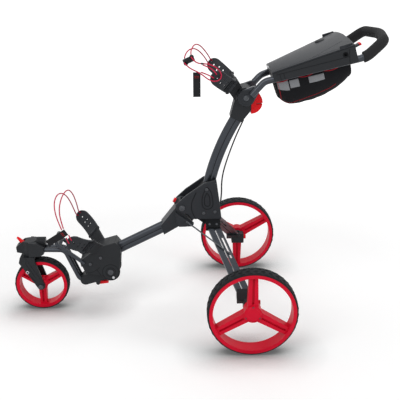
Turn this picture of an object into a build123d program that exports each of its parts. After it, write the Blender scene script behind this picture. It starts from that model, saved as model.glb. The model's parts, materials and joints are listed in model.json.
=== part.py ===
from build123d import *
import os
from math import asin, atan2, cos, hypot, pi, radians, sin, tan

# Folding three-wheel golf push cart, in millimetres.
# +Z is up, the front wheel is towards -X, the push handle towards +X and the cart's left at -Y.
# The origin is on the ground under the middle of the cart. "side" is -1 on the left, +1 on the right.

# Clearances
RUN_FIT = 0.05
SIDE_GAP = 0.3
FOLD_GAP = 0.5
OVERCUT = 1.0

# Rear wheels
REAR_WHEEL_D = 290.0
REAR_WHEEL_W = 50.0
REAR_AXLE_X = 191.0
TRACK = 646.0
REAR_HUB_R = 29.0
REAR_AXLE_R = 6.0
AXLE_COVER = 2.0
REAR_SPOKE_W = 30.0

# Front wheel
FRONT_WHEEL_D = 192.0
FRONT_WHEEL_W = 42.0
FRONT_AXLE_X = -530.0
FRONT_HUB_R = 21.0
FRONT_AXLE_R = 5.0
FRONT_SPOKE_W = 24.0

# Rim and tyre sections shared by all wheels
TYRE_T = 12.0
RIM_LIP_DROP = 6.5
RIM_LIP_T = 3.3
RIM_T = 6.0
TREAD_EDGE = 3.0
SPOKE_COUNT = 3
SPOKE_GROOVE_W = 7.0
SPOKE_GROOVE_DEPTH = 7.0
SPOKE_INSET = 9.0
HUB_CAP_T = 5.0
HUB_CAP_STEP = 2.0
HUB_CAP_TAPER = 7.0

# Main frame tubes: two round barrels joined one above the other
BARREL_R = 12.5
BARREL_PITCH = 16.0
TUBE_WALL = 2.2
UPPER_TUBE_LOW = (58.0, 432.0)
UPPER_TUBE_MID = (100.0, 583.0)
UPPER_TUBE_HIGH = (172.0, 722.0)
FRONT_TUBE_LOW = (-296.0, 207.6)
FRONT_TUBE_HIGH = (-40.0, 335.0)

# Centre hub and its fold pivot
FOLD_X = -29.0
FOLD_Z = 391.0
FOLD_BOLT_R = 6.0
FOLD_MAX = 100.0
TONGUE_R = 15.0
TONGUE_HALF = 14.0
CHEEK_R = 20.0
CHEEK_OUT = 30.0
CORE_HALF = 31.5
SHELL_IN = 32.0
SHELL_OUT = 42.0
LOBE_OUT = 40.0
HUB_SCREWS = ((55.0, 457.0), (45.0, 372.0), (84.0, 376.0))
SCREW_HEAD_R = 5.0
SCREW_HEAD_T = 2.0
FOLD_BUTTON_R = 8.5
FOLD_BUTTON_ANGLE = 150.0
FOLD_BUTTON_TRAVEL = 4.0

# Rear legs: each a parallelogram of two flat bars turning on tilted pins
LEG_TOP = (77.0, 50.0, 328.0)
LEG_FOOT_INSIDE = 73.0
LEG_RUN = (92.7, TRACK / 2 - LEG_FOOT_INSIDE - LEG_TOP[1], -157.2)
LEG_PITCH = 24.0
LEG_BAR_W = 19.0
LEG_BAR_T = 10.0
LEG_PIN_R = 4.0
LEG_PLATE_T = 6.0
LEG_SLOT = (52.0, 132.0, 7.0)
CARRIER_X = (-26.0, 22.0)
CARRIER_INSIDE = (65.0, 26.0)
CARRIER_Y = (TRACK / 2 - CARRIER_INSIDE[0], TRACK / 2 - CARRIER_INSIDE[1])
CARRIER_Z = (-18.0, 20.0)
RELEASE_R = 8.0
RELEASE_TRAVEL = 4.0
RELEASE_PROUD = 8.0

# Spreader rods between the front knuckle and the rear bars
ROD_R = 2.5
ROD_BALL_R = 4.0
ROD_OPEN_GAP = 4.0
ROD_FRONT = (-12.0, 50.0, 343.0)
ROD_ALONG_BAR = 120.0
ROD_LIFT = 9.0

# Front arm, its knuckle and the lower bracket
ARM_PIVOT_X = -282.0
ARM_PIVOT_Z = 150.0
ARM_BOLT_R = 6.0
ARM_KNUCKLE_R = 28.0
ARM_KNUCKLE_HALF = 23.5
ARM_NOSE = (-374.0, 113.0)
ARM_NOSE_R = 18.0
ARM_TUBE_R = 8.5
ARM_TUBE_Y = 14.0
ARM_ROUTE = ((-362.0, 112.0), (-394.0, 115.0), (-441.0, 228.0), (-545.0, 230.0))
ARM_BENDS = (22.0, 26.0)
BRACKET_IN = 24.0
BRACKET_OUT = 37.0
BRACKET_DISC_R = 33.0
BRACKET_BOLTS = ((-315.0, 206.0), (-352.0, 182.0))
PEDAL_PIVOT = (-330.0, 101.0)
PEDAL_HALF = 15.0
PEDAL_PIN_R = 2.5
PEDAL_LUG_R = 7.0
PEDAL_LUG_RISE = 13.0

# Bag support at the bracket
BAG_AXIS_DEG = 51.3
REST_LOW = (-372.0, 184.0)
REST_LENGTH = 118.0
REST_IN = 26.0
REST_OUT = 41.0
REST_T = 11.0
REST_BRIDGE = 16.0
REST_TURN_UP = 20.0

# Caster head, fork and their controls
STEM_X = -564.0
STEM_R = 9.0
HEAD_R = 25.0
HEAD_Z = (207.5, 262.0)
HEAD_HALF = 33.0
KNOB_R = 15.0
KNOB_X = (-538.0, -508.0)
KNOB_Z = 257.0
KNOB_RIBS = 18
LOCK_PIVOT = (-588.0, 255.0)
FORK_LEG_IN = 24.0
FORK_LEG_T = 9.0
FORK_CROWN_T = 11.0

# Upper joint and handle
HINGE_X = 181.0
HINGE_Z = 772.0
HINGE_R = 31.0
HINGE_BOLT_R = 5.0
COLLAR_HALF = 24.0
BARREL_HALF = 42.0
PLATE_R = 27.0
PLATE_T = 13.0
HANDLE_TUBE_R = 11.0
HANDLE_BEND = (238.0, 60.0, 826.0)
HANDLE_REAR = (534.0, 150.0, 916.0)
HANDLE_CORNER = (590.0, 128.0, 961.0)
HANDLE_CREST = (611.0, 0.0, 968.0)
GRIP_R = 17.0
GRIP_START = 301.0
LEVER_X = 200.0
LEVER_Z = 750.0
LEVER_R = 38.0
LEVER_HALF = 22.0

# Console between the handle tubes, measured along their slope from the bend
CONSOLE_START = 28.0
CONSOLE_END = 284.0
CONSOLE_WALL = 3.5
CONSOLE_FRONT_H = 20.0
CONSOLE_REAR_H = 44.0
CONSOLE_FLOOR = -7.0
CONSOLE_SIDE = 13.0
LID_T = 4.0
LID_CROWN = 12.0
SOCKET_R = 5.0
SOCKET_DEPTH = 12.0
SOCKET_UP = 25.0
SOCKET_FROM_END = 32.0
SOCKET_BOSS_R = 9.0
SOCKET_BOSS_PROUD = 2.0
BRAKE_PIVOT_BEHIND = 12.0
BRAKE_PIVOT_UP = 8.0
BRAKE_PIN_R = 2.5
BRAKE_BARREL_R = 6.0
BRAKE_HALF = 13.5
BRAKE_REACH = 36.0
BRAKE_PITCH = 12.0
BRAKE_T = 6.0
BRAKE_EAR_T = 6.0
NET_T = 2.5
NET_STATIONS = ((2.0, 62.0), (34.0, 104.0), (120.0, 106.0), (200.0, 83.0), (236.0, 55.0))

# Cradle wings
WING_T = 7.0
WING_PIN_R = 2.5
WING_KNUCKLE_R = 6.5
WING_HOLE_R = 3.2
WING_HOLES = ((0.38, -7.0), (0.38, 7.0), (0.58, -7.0), (0.58, 7.0), (0.78, 0.0))
CORD_HOLE_SHARE = 0.92
CORD_HOLE_ACROSS = 7.0
CORD_HOLE_ROOM = 0.6
WING_BOW = 0.10
UPPER_WING_HINGE = (131.0, 78.0, 812.0)
UPPER_WING_SIZE = (96.0, 50.0, 32.0)
UPPER_ARM_ROOT = (138.0, 20.0, 806.0)
LOWER_WING_HINGE = (-346.0, 62.0, 263.0)
LOWER_WING_SIZE = (104.0, 52.0, 38.0)
LOWER_ARM_ROOT = (-312.0, 18.0, 222.0)

# Elastic cords, their fittings and the brake cable
CORD_D = 4.0
CABLE_D = 5.0
BUCKLE_AT = (-4.0, -106.0, 902.0)
BUCKLE_SIZE = (40.0, 13.0, 24.0)
BUCKLE_PITCH = -25.0
STRAP_TOP = ((9.0, 872.0), (31.0, 863.0))
STRAP_LOW = 792.0
STRAP_Y = -129.5
TAB_TOP = (-413.0, 342.0)
TAB_END = (-477.0, 301.0)
TAB_Y = -127.5
WEBBING_W = 24.0
WEBBING_T = 3.0

BAG_AXIS = Vector(cos(radians(BAG_AXIS_DEG)), 0, sin(radians(BAG_AXIS_DEG)))
BAG_OUT = Vector(-sin(radians(BAG_AXIS_DEG)), 0, cos(radians(BAG_AXIS_DEG)))
SIDES = {"left": -1, "right": 1}
parts = {}


# Shared shapes

def prism(points, y_low, y_high):
    """An XZ outline made solid between two Y planes."""
    outline = Polyline(*[(x, y_low, z) for x, z in points], close=True)
    return extrude(make_face(outline), amount=y_high - y_low, dir=(0, 1, 0))


def round_y(x, z, radius, y_low, y_high):
    """A cylinder along Y."""
    return Pos(x, (y_low + y_high) / 2, z) * Rot(90, 0, 0) * Cylinder(radius, y_high - y_low)


def round_between(start, end, radius):
    """A cylinder from one point to another."""
    axis = Vector(*end) - Vector(*start)
    align = (Align.CENTER, Align.CENTER, Align.MIN)
    return Plane(origin=start, z_dir=axis) * Cylinder(radius, axis.length, align=align)


def link(first, first_r, second, second_r, y_low, y_high):
    """Two discs and the tangent web between them."""
    span = hypot(second[0] - first[0], second[1] - first[1])
    heading = atan2(second[1] - first[1], second[0] - first[0])
    lean = asin((first_r - second_r) / span)
    discs = ((first, first_r, 1), (second, second_r, 1), (second, second_r, -1), (first, first_r, -1))
    corners = []
    for centre, radius, sign in discs:
        angle = heading + sign * (radians(90) - lean)
        corners.append((centre[0] + radius * cos(angle), centre[1] + radius * sin(angle)))
    web = prism(corners, y_low, y_high)
    return web + round_y(*first, first_r, y_low, y_high) + round_y(*second, second_r, y_low, y_high)


def tube_section(radius):
    """Two overlapping circles, one above the other, with the waist between them filled."""
    circles = [Pos(0, side * BARREL_PITCH / 2) * Circle(radius) for side in (-1, 1)]
    return circles[0] + circles[1] + Rectangle(1.7 * radius, BARREL_PITCH)


def mirrored(solid):
    """The same piece on the other side of the cart."""
    return mirror(solid, about=Plane.XZ)


def cord_line(points, name):
    """Straight runs joined by the largest arcs that they allow."""
    route = [Vector(*point) for point in points]
    radii = []
    for before, here, after in zip(route, route[1:], route[2:]):
        arriving = here - before
        leaving = after - here
        half_turn = radians(arriving.get_angle(leaving)) / 2
        radii.append(0.45 * min(arriving.length, leaving.length) / tan(half_turn))
    print(name, "bend radii", [round(radius, 1) for radius in radii])
    return FilletPolyline(*route, radius=radii)


def cord_tube(points, diameter, name):
    """A round cord along a route of points."""
    line = cord_line(points, name)
    tube = sweep(Plane(origin=line @ 0, z_dir=line % 0) * Circle(diameter / 2), path=line)
    print(name, "length", round(line.length, 1), "volume ratio",
          round(tube.volume / (line.length * pi * diameter ** 2 / 4), 4))
    return tube


# Wheels

def wheel_tyre(diameter, width):
    """A tyre seated between the rim's two lips."""
    outer = diameter / 2
    half = width / 2
    lip_in = half - RIM_LIP_T
    over_lip = outer - RIM_LIP_DROP + SIDE_GAP
    side = [(outer - TYRE_T, lip_in), (over_lip, lip_in), (over_lip, half),
            (outer - TREAD_EDGE, half), (outer, half - 2 * TREAD_EDGE)]
    section = [(radius, -axial) for radius, axial in side] + list(reversed(side))
    return revolve(make_face(Polyline(*section, close=True)), Axis.Y)


def wheel_rim(diameter, width, hub_r, axle_r, spoke_w, first_spoke, bore_through):
    """A rim with lips, spokes that carry a groove on both faces, and a hub; -Y faces outwards."""
    outer = diameter / 2
    half = width / 2
    lip_in = half - RIM_LIP_T
    seat = outer - TYRE_T
    inside = seat - RIM_T
    lip = outer - RIM_LIP_DROP
    section = [(inside, -half), (lip, -half), (lip, -lip_in), (seat, -lip_in),
               (seat, lip_in), (lip, lip_in), (lip, half), (inside, half)]
    rim = revolve(make_face(Polyline(*section, close=True)), Axis.Y)
    face = half - HUB_CAP_T
    rim += round_y(0, 0, hub_r, -face, face)
    spoke_half = half - SPOKE_INSET
    reach = inside + RIM_T / 2
    outline = [(0, -0.6 * spoke_w), (reach, -0.45 * spoke_w), (reach, 0.45 * spoke_w), (0, 0.6 * spoke_w)]
    spoke = prism(outline, -spoke_half, spoke_half)
    groove_x = (hub_r + 4, inside - 5)
    groove_long = groove_x[1] - groove_x[0]
    for sign in (-1, 1):
        middle = Pos(sum(groove_x) / 2, sign * (spoke_half - SPOKE_GROOVE_DEPTH / 2), 0)
        spoke -= middle * Box(groove_long, SPOKE_GROOVE_DEPTH, SPOKE_GROOVE_W)
    for index in range(SPOKE_COUNT):
        rim += Rot(0, -(first_spoke + index * 360 / SPOKE_COUNT), 0) * spoke
    cap_r = hub_r - HUB_CAP_STEP
    cap = Cone(cap_r, cap_r - HUB_CAP_TAPER, HUB_CAP_T, align=(Align.CENTER, Align.CENTER, Align.MIN))
    rim += Pos(0, -face, 0) * Rot(90, 0, 0) * cap
    bore_end = -half if bore_through else HUB_CAP_T + AXLE_COVER - half
    return rim - round_y(0, 0, axle_r, bore_end, half)


def make_rear_wheels():
    """Both rear wheels with the axle stub that plugs into the leg's carrier."""
    half = REAR_WHEEL_W / 2
    place = Pos(REAR_AXLE_X, TRACK / 2, REAR_WHEEL_D / 2)
    outer_end = half - HUB_CAP_T - AXLE_COVER
    inner_end = TRACK / 2 - CARRIER_Y[0] - 5
    stub = round_y(0, 0, REAR_AXLE_R, -inner_end, outer_end)
    groove_at = TRACK / 2 - release_y()
    stub -= round_y(0, 0, REAR_AXLE_R + 1, -groove_at - 2, -groove_at + 2) - round_y(
        0, 0, REAR_AXLE_R - 1.5, -groove_at - 2, -groove_at + 2)
    tyre = wheel_tyre(REAR_WHEEL_D, REAR_WHEEL_W)
    for name, first_spoke in (("left", 90), ("right", 30)):
        rim = wheel_rim(REAR_WHEEL_D, REAR_WHEEL_W, REAR_HUB_R, REAR_AXLE_R, REAR_SPOKE_W, first_spoke, False)
        placed = {"rear_rim": place * mirrored(rim), "rear_tyre": place * tyre, "rear_axle": place * stub}
        for piece, solid in placed.items():
            parts[f"{piece}_{name}"] = solid if name == "right" else mirrored(solid)


def make_front_wheel():
    """The small front wheel and its through axle."""
    place = Pos(FRONT_AXLE_X, 0, FRONT_WHEEL_D / 2)
    bore_r = FRONT_AXLE_R + RUN_FIT
    rim = wheel_rim(FRONT_WHEEL_D, FRONT_WHEEL_W, FRONT_HUB_R, bore_r, FRONT_SPOKE_W, 30, True)
    hub_half = FORK_LEG_IN - SIDE_GAP
    hub = round_y(0, 0, FRONT_AXLE_R + 4, -hub_half, hub_half)
    bore = round_y(0, 0, bore_r, -hub_half, hub_half)
    parts["front_rim"] = place * (rim + hub - bore)
    parts["front_tyre"] = place * wheel_tyre(FRONT_WHEEL_D, FRONT_WHEEL_W)


# Front fork and caster head

def make_front_fork():
    """Fork crown, two creased legs, stem and axle."""
    axle_z = FRONT_WHEEL_D / 2
    top = HEAD_Z[0] - FOLD_GAP
    crown_low = top - FORK_CROWN_T
    back = STEM_X + 17
    front = STEM_X - 37
    leg_out = FORK_LEG_IN + FORK_LEG_T
    leg_line = [(front + 4, top), (back, top), (back + 2, crown_low - 8), (FRONT_AXLE_X + 13, axle_z + 4),
                (FRONT_AXLE_X, axle_z - 14), (FRONT_AXLE_X - 14, axle_z - 4), (front + 10, crown_low - 26),
                (front - 1, crown_low - 10)]
    crown = [(front + 4, top), (back, top), (back, crown_low), (front + 2, crown_low)]
    fork = prism(crown, -leg_out, leg_out)
    for side in (-1, 1):
        inner = side * FORK_LEG_IN
        outer = side * leg_out
        leg = prism(leg_line, min(inner, outer), max(inner, outer))
        rib = link((front + 22, crown_low - 12), 12, (FRONT_AXLE_X, axle_z), 13,
                   min(outer, outer + side * 3), max(outer, outer + side * 3))
        fork += leg + rib + round_y(FRONT_AXLE_X, axle_z, 14, min(inner, outer), max(inner, outer))
    reach = leg_out + 5
    fork -= round_y(FRONT_AXLE_X, axle_z, FRONT_AXLE_R, -reach, reach)
    stem_foot = Pos(STEM_X, 0, 0) * round_between((0, 0, crown_low), (0, 0, HEAD_Z[1] - 6), STEM_R)
    parts["front_fork"] = fork - stem_foot
    axle = round_y(FRONT_AXLE_X, axle_z, FRONT_AXLE_R, -reach, reach)
    for side in (-1, 1):
        inner = side * (leg_out + 3)
        outer = side * (leg_out + 7)
        axle += round_y(FRONT_AXLE_X, axle_z, FRONT_AXLE_R + 4, min(inner, outer), max(inner, outer))
    parts["fork_pins"] = Compound(children=[Part(stem_foot.wrapped), Part(axle.wrapped)])


def arm_route(side):
    """The centre line of one arm tube."""
    return [(x, side * ARM_TUBE_Y, z) for x, z in ARM_ROUTE]


def arm_tube(side, radius):
    """One bent arm tube as a solid bar."""
    line = FilletPolyline(*arm_route(side), radius=list(ARM_BENDS))
    return sweep(Plane(origin=line @ 0, z_dir=line % 0) * Circle(radius), path=line)


def make_front_arm():
    """Twin arm tubes between the folding knuckle and the caster head."""
    tubes = []
    bars = []
    for side in (-1, 1):
        bar = arm_tube(side, ARM_TUBE_R)
        bars.append(bar)
        tubes.append(bar - arm_tube(side, ARM_TUBE_R - TUBE_WALL))
    parts["arm_tubes"] = Compound(children=[Part(tube.wrapped) for tube in tubes])

    pivot = (ARM_PIVOT_X, ARM_PIVOT_Z)
    half = ARM_KNUCKLE_HALF
    knuckle = link(pivot, ARM_KNUCKLE_R, ARM_NOSE, ARM_NOSE_R, -half, half)
    knuckle -= round_y(*pivot, ARM_BOLT_R + RUN_FIT, -half, half)
    knuckle -= Pos(*pedal_middle()) * Box(44, 2 * PEDAL_HALF + 2 * SIDE_GAP, 24)
    for bar in bars:
        knuckle -= bar
    parts["arm_knuckle"] = knuckle

    low, high = HEAD_Z
    head = Pos(STEM_X, 0, (low + high) / 2) * Cylinder(HEAD_R, high - low)
    head += prism([(STEM_X, low), (STEM_X + 40, low + 4), (STEM_X + 52, low + 12), (STEM_X + 52, low + 36),
                   (STEM_X + 26, high - 3), (STEM_X, high)], -HEAD_HALF, HEAD_HALF)
    head += prism([(STEM_X - 44, low + 14), (STEM_X, low + 4), (STEM_X, high), (STEM_X - 20, high),
                   (STEM_X - 46, low + 34)], -18, 18)
    head -= round_between((KNOB_X[0] - SIDE_GAP, 0, KNOB_Z), (KNOB_X[1] + 30, 0, KNOB_Z), KNOB_R + 1.5)
    head -= round_between((KNOB_X[0] - 14, 0, KNOB_Z), (KNOB_X[0], 0, KNOB_Z), 4 + RUN_FIT)
    lever_room = prism([(LOCK_PIVOT[0] - 40, LOCK_PIVOT[1] - 9), (LOCK_PIVOT[0] + 9, LOCK_PIVOT[1] - 9),
                        (LOCK_PIVOT[0] + 9, high + 30), (LOCK_PIVOT[0] - 40, high + 30)],
                       -11 - SIDE_GAP, 11 + SIDE_GAP)
    head -= lever_room
    head += round_y(*LOCK_PIVOT, 2.5, -15, 15)
    for bar in bars:
        head -= bar
    stem_hole = round_between((STEM_X, 0, low - 1), (STEM_X, 0, high - 5), STEM_R + RUN_FIT)
    parts["caster_head"] = head - stem_hole

    knob = round_between((KNOB_X[0], 0, KNOB_Z), (KNOB_X[1], 0, KNOB_Z), KNOB_R)
    for index in range(KNOB_RIBS):
        angle = radians(index * 360 / KNOB_RIBS)
        at_y = KNOB_R * cos(angle)
        at_z = KNOB_Z + KNOB_R * sin(angle)
        knob -= round_between((KNOB_X[0] + 4, at_y, at_z), (KNOB_X[1] + 1, at_y, at_z), 1.5)
    knob += round_between((KNOB_X[0] - 13, 0, KNOB_Z), (KNOB_X[0], 0, KNOB_Z), 4)
    parts["tracking_knob"] = knob

    lock_x, lock_z = LOCK_PIVOT
    lever = link(LOCK_PIVOT, 6.5, (lock_x - 20, lock_z + 16), 4.5, -11, 11)
    parts["caster_lock_lever"] = lever - round_y(lock_x, lock_z, 2.5 + RUN_FIT, -12, 12)


def pedal_middle():
    """The middle of the pocket under the arm knuckle that holds the release pedal."""
    return (PEDAL_PIVOT[0] + 14, 0, PEDAL_PIVOT[1] - 2)


def make_arm_pedal():
    """The red foot pedal that frees the arm fold, on a pin in the knuckle's pocket."""
    pivot_x, pivot_z = PEDAL_PIVOT
    outline = [(pivot_x - 6, pivot_z + 5), (pivot_x + 6, pivot_z + 6), (pivot_x + 34, pivot_z + 4),
               (pivot_x + 36, pivot_z - 4), (pivot_x + 6, pivot_z - 8), (pivot_x - 6, pivot_z - 6)]
    pedal = prism(outline, -PEDAL_HALF, PEDAL_HALF)
    parts["arm_pedal"] = pedal - round_y(pivot_x, pivot_z, PEDAL_PIN_R + RUN_FIT, -PEDAL_HALF, PEDAL_HALF)
    for side in SIDES.values():
        ends = (side * (PEDAL_HALF + SIDE_GAP), side * ARM_KNUCKLE_HALF)
        root = (pivot_x, pivot_z + PEDAL_LUG_RISE)
        parts["arm_knuckle"] += link(root, PEDAL_LUG_R + 3, PEDAL_PIVOT, PEDAL_LUG_R, min(ends), max(ends))
    parts["arm_knuckle"] += round_y(pivot_x, pivot_z, PEDAL_PIN_R, -ARM_KNUCKLE_HALF, ARM_KNUCKLE_HALF)


# Front frame: tube, its hub knuckle, lower bracket and bag rest

def front_tube_bar(radius, extra=0.0):
    """The straight front tube's outer shape."""
    start = Vector(FRONT_TUBE_LOW[0], 0, FRONT_TUBE_LOW[1])
    end = Vector(FRONT_TUBE_HIGH[0], 0, FRONT_TUBE_HIGH[1])
    along = (end - start).normalized()
    plane = Plane(origin=start - along * extra, x_dir=(0, 1, 0), z_dir=along)
    return extrude(plane * tube_section(radius), amount=(end - start).length + 2 * extra)


def make_front_tube():
    """The hollow front tube."""
    parts["front_tube"] = front_tube_bar(BARREL_R) - front_tube_bar(BARREL_R - TUBE_WALL, 1)


def from_fold(angle_deg, radius):
    """A point at an angle and distance from the fold pivot, in XZ."""
    angle = radians(angle_deg)
    return (FOLD_X + radius * cos(angle), FOLD_Z + radius * sin(angle))


def fold_button_bar(radius, near, far):
    """A round bar on the fold button's line."""
    start = from_fold(FOLD_BUTTON_ANGLE, near)
    end = from_fold(FOLD_BUTTON_ANGLE, far)
    return round_between((start[0], 0, start[1]), (end[0], 0, end[1]), radius)


def make_front_knuckle():
    """The knuckle that carries the front tube and turns on the fold bolt."""
    body = prism([(-92, 288), (-102, 322), (-52, 386), from_fold(190, CHEEK_R), (-27, 372), (12, 327),
                  (8, 321), (-40, 319)], -CHEEK_OUT, CHEEK_OUT)
    body += round_y(FOLD_X, FOLD_Z, CHEEK_R, -CHEEK_OUT, CHEEK_OUT)
    seam_top = from_fold(282, 40)
    for side in (-1, 1):
        inner = side * (CHEEK_OUT - 1)
        outer = side * LOBE_OUT
        body += prism([(-52, 377), (-40, 365), seam_top, (11, 329), (7, 322), (-38, 320), (-48, 330)],
                      min(inner, outer), max(inner, outer))
    tongue_room = TONGUE_HALF + SIDE_GAP
    body -= round_y(FOLD_X, FOLD_Z, TONGUE_R + FOLD_GAP, -tongue_room, tongue_room)
    swept = [from_fold(FOLD_MAX + 4, TONGUE_R), from_fold(FOLD_MAX + 4, 60), from_fold(40, 90),
             from_fold(-20, 100), from_fold(-75, 90), from_fold(-100, TONGUE_R)]
    slot = prism(swept, -tongue_room, tongue_room)
    body -= slot
    body -= front_tube_bar(BARREL_R, 0)
    body += fold_button_bar(FOLD_BUTTON_R + 3, TONGUE_R + FOLD_GAP, TONGUE_R + 11)
    body -= fold_button_bar(FOLD_BUTTON_R + RUN_FIT, TONGUE_R - 2, TONGUE_R + 30)
    body -= slot
    body -= round_y(FOLD_X, FOLD_Z, TONGUE_R + FOLD_GAP, -tongue_room, tongue_room)
    body -= round_y(FOLD_X, FOLD_Z, FOLD_BOLT_R + RUN_FIT, -SHELL_OUT, SHELL_OUT)
    for side in (-1, 1):
        inner = side * (LOBE_OUT - 2)
        outer = side * (ROD_FRONT[1] - ROD_BALL_R - ROD_OPEN_GAP)
        body += round_y(ROD_FRONT[0], ROD_FRONT[2], 4, min(inner, outer), max(inner, outer))
    parts["front_knuckle"] = body
    inner = TONGUE_R + FOLD_GAP + FOLD_BUTTON_TRAVEL + SIDE_GAP
    parts["fold_button"] = fold_button_bar(FOLD_BUTTON_R, inner, inner + 13)


def make_lower_bracket():
    """Two cheeks on the arm pivot, joined over the front tube's lower end."""
    pivot = (ARM_PIVOT_X, ARM_PIVOT_Z)
    bracket = prism([(-244, 240), (-262, 262), (-318, 246), (-356, 206), (-388, 192), (-384, 172),
                     (-352, 178), (-318, 193), (-262, 190), (-248, 205)], -BRACKET_OUT, BRACKET_OUT)
    for side in (-1, 1):
        inner = side * BRACKET_IN
        outer = side * BRACKET_OUT
        low, high = min(inner, outer), max(inner, outer)
        cheek = [(-250, 150), (-244, 236), (-320, 246), (-388, 192), (-370, 146), (-318, 138)]
        bracket += prism(cheek, low, high)
        bracket += round_y(*pivot, BRACKET_DISC_R, low, high)
    bracket -= front_tube_bar(BARREL_R, 0)
    bracket -= round_y(*pivot, ARM_KNUCKLE_R + 2 * FOLD_GAP, -BRACKET_IN, BRACKET_IN)
    bracket -= round_y(*pivot, ARM_BOLT_R, -BRACKET_OUT, BRACKET_OUT)
    for bolt_x, bolt_z in BRACKET_BOLTS:
        bracket -= round_y(bolt_x, bolt_z, SCREW_HEAD_R, -BRACKET_OUT, 1 - BRACKET_OUT)
        bracket -= round_y(bolt_x, bolt_z, SCREW_HEAD_R, BRACKET_OUT - 1, BRACKET_OUT)
    bracket -= bag_rest_bar()
    for side in (-1, 1):
        bracket += cradle_root(LOWER_WING_HINGE, LOWER_ARM_ROOT, LOWER_WING_SIZE, side)
    bracket -= front_tube_bar(BARREL_R, 0)
    parts["lower_bracket"] = bracket

    bolts = [round_y(*pivot, ARM_BOLT_R, -BRACKET_OUT, BRACKET_OUT)]
    for side in (-1, 1):
        for bolt_x, bolt_z in BRACKET_BOLTS:
            inner = side * (BRACKET_OUT - 1)
            outer = inner + side * 2.5
            bolts.append(round_y(bolt_x, bolt_z, SCREW_HEAD_R, min(inner, outer), max(inner, outer)))
        inner = side * BRACKET_OUT
        outer = inner + side * SCREW_HEAD_T
        bolts[0] += round_y(*pivot, ARM_BOLT_R + 4, min(inner, outer), max(inner, outer))
    parts["bracket_bolts"] = Compound(children=[Part(bolt.wrapped) for bolt in bolts])


def rest_plane(along):
    """Frame on the bag rest at a distance from its root: x to the right, y along the bag."""
    origin = Vector(REST_LOW[0], 0, REST_LOW[1]) + BAG_OUT * along
    return Plane(origin=origin, x_dir=(0, 1, 0), z_dir=BAG_OUT)


def bag_rest_bar():
    """The two prongs that the bag's foot stands on, either side of the arm tubes, square to the bag."""
    prongs = []
    for side in SIDES.values():
        section = RectangleRounded(REST_OUT - REST_IN, REST_T, REST_T * 0.3)
        placed = rest_plane(0) * Pos(side * (REST_IN + REST_OUT) / 2, 0) * section
        prongs.append(extrude(placed, amount=REST_LENGTH))
    return prongs[0] + prongs[1]


def make_bag_rest():
    """The bag rest with its cross piece, turned up at the outer end."""
    section = RectangleRounded(2 * REST_OUT, REST_T, REST_T * 0.3)
    bridge = extrude(rest_plane(REST_LENGTH - REST_BRIDGE) * section, amount=REST_BRIDGE)
    tip = rest_plane(REST_LENGTH - 1)
    turned = Plane(origin=tip.origin, x_dir=(0, 1, 0), z_dir=BAG_OUT + BAG_AXIS * 0.8)
    lip = extrude(turned * section, amount=REST_TURN_UP)
    parts["bag_rest"] = bag_rest_bar() + bridge + lip


# Cradle wings

def wing_plane(hinge, side):
    """Frame at a wing's hinge: x away from the cart's frame, y to the left, z along the bag."""
    return Plane(origin=(hinge[0], side * hinge[1], hinge[2]), x_dir=BAG_OUT, z_dir=BAG_AXIS)


def wing_chord(hinge, size, side):
    """Frame on a wing's chord: x from the hinge to the tip, z through the wing."""
    plane = wing_plane(hinge, side)
    splay = radians(-side * size[2])
    return Plane(origin=plane.origin, x_dir=plane.x_dir * cos(splay) + plane.y_dir * sin(splay),
                 z_dir=plane.y_dir * cos(splay) - plane.x_dir * sin(splay))


def hinge_knuckle(plane, radius, low, high):
    """A cylinder on a wing's hinge line."""
    align = (Align.CENTER, Align.CENTER, Align.MIN)
    return plane * Pos(0, 0, low) * Cylinder(radius, high - low, align=align)


def cradle_wing(hinge, size, side):
    """One bowed wing with a round tip, a row of holes and a hinge knuckle."""
    length, width, splay_deg = size
    plane = wing_plane(hinge, side)
    splay = radians(-side * splay_deg)
    past_tip = length + OVERCUT
    tip = (past_tip * cos(splay), past_tip * sin(splay))
    bow = WING_BOW * length * -side
    middle = (tip[0] / 2 - bow * sin(splay), tip[1] / 2 + bow * cos(splay))
    across = (-sin(splay) * WING_T / 2, cos(splay) * WING_T / 2)
    edges = []
    for sign in (-1, 1):
        shift = (sign * across[0], sign * across[1])
        edges.append([(point[0] + shift[0], point[1] + shift[1]) for point in ((0, 0), middle, tip)])
    outline = [ThreePointArc(*edges[0]), Line(edges[0][2], edges[1][2]),
               ThreePointArc(*edges[1]), Line(edges[0][0], edges[1][0])]
    band = extrude(plane * make_face(outline), amount=width / 2 + OVERCUT, both=True)
    chord = wing_chord(hinge, size, side)
    stadium = Pos(length - width / 2, 0) * Circle(width / 2) + Pos((length - width / 2) / 2, 0) * Rectangle(
        length - width / 2, width)
    wing = band & extrude(chord * stadium, amount=length, both=True)
    for share, across_bag in WING_HOLES:
        wing -= chord * Pos(share * length, across_bag, 0) * Cylinder(WING_HOLE_R, length)
    for sign in (-1, 1):
        spot = chord * Pos(CORD_HOLE_SHARE * length, sign * CORD_HOLE_ACROSS, 0)
        wing -= spot * Cylinder(CORD_D / 2 + CORD_HOLE_ROOM, length)
    ear = 0.28 * width
    clear = WING_KNUCKLE_R + 0.7
    wing -= hinge_knuckle(plane, clear, ear, width)
    wing -= hinge_knuckle(plane, clear, -width, -ear)
    wing += hinge_knuckle(plane, WING_KNUCKLE_R, -ear, ear)
    return wing - hinge_knuckle(plane, WING_PIN_R + RUN_FIT, -width, width)


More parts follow.
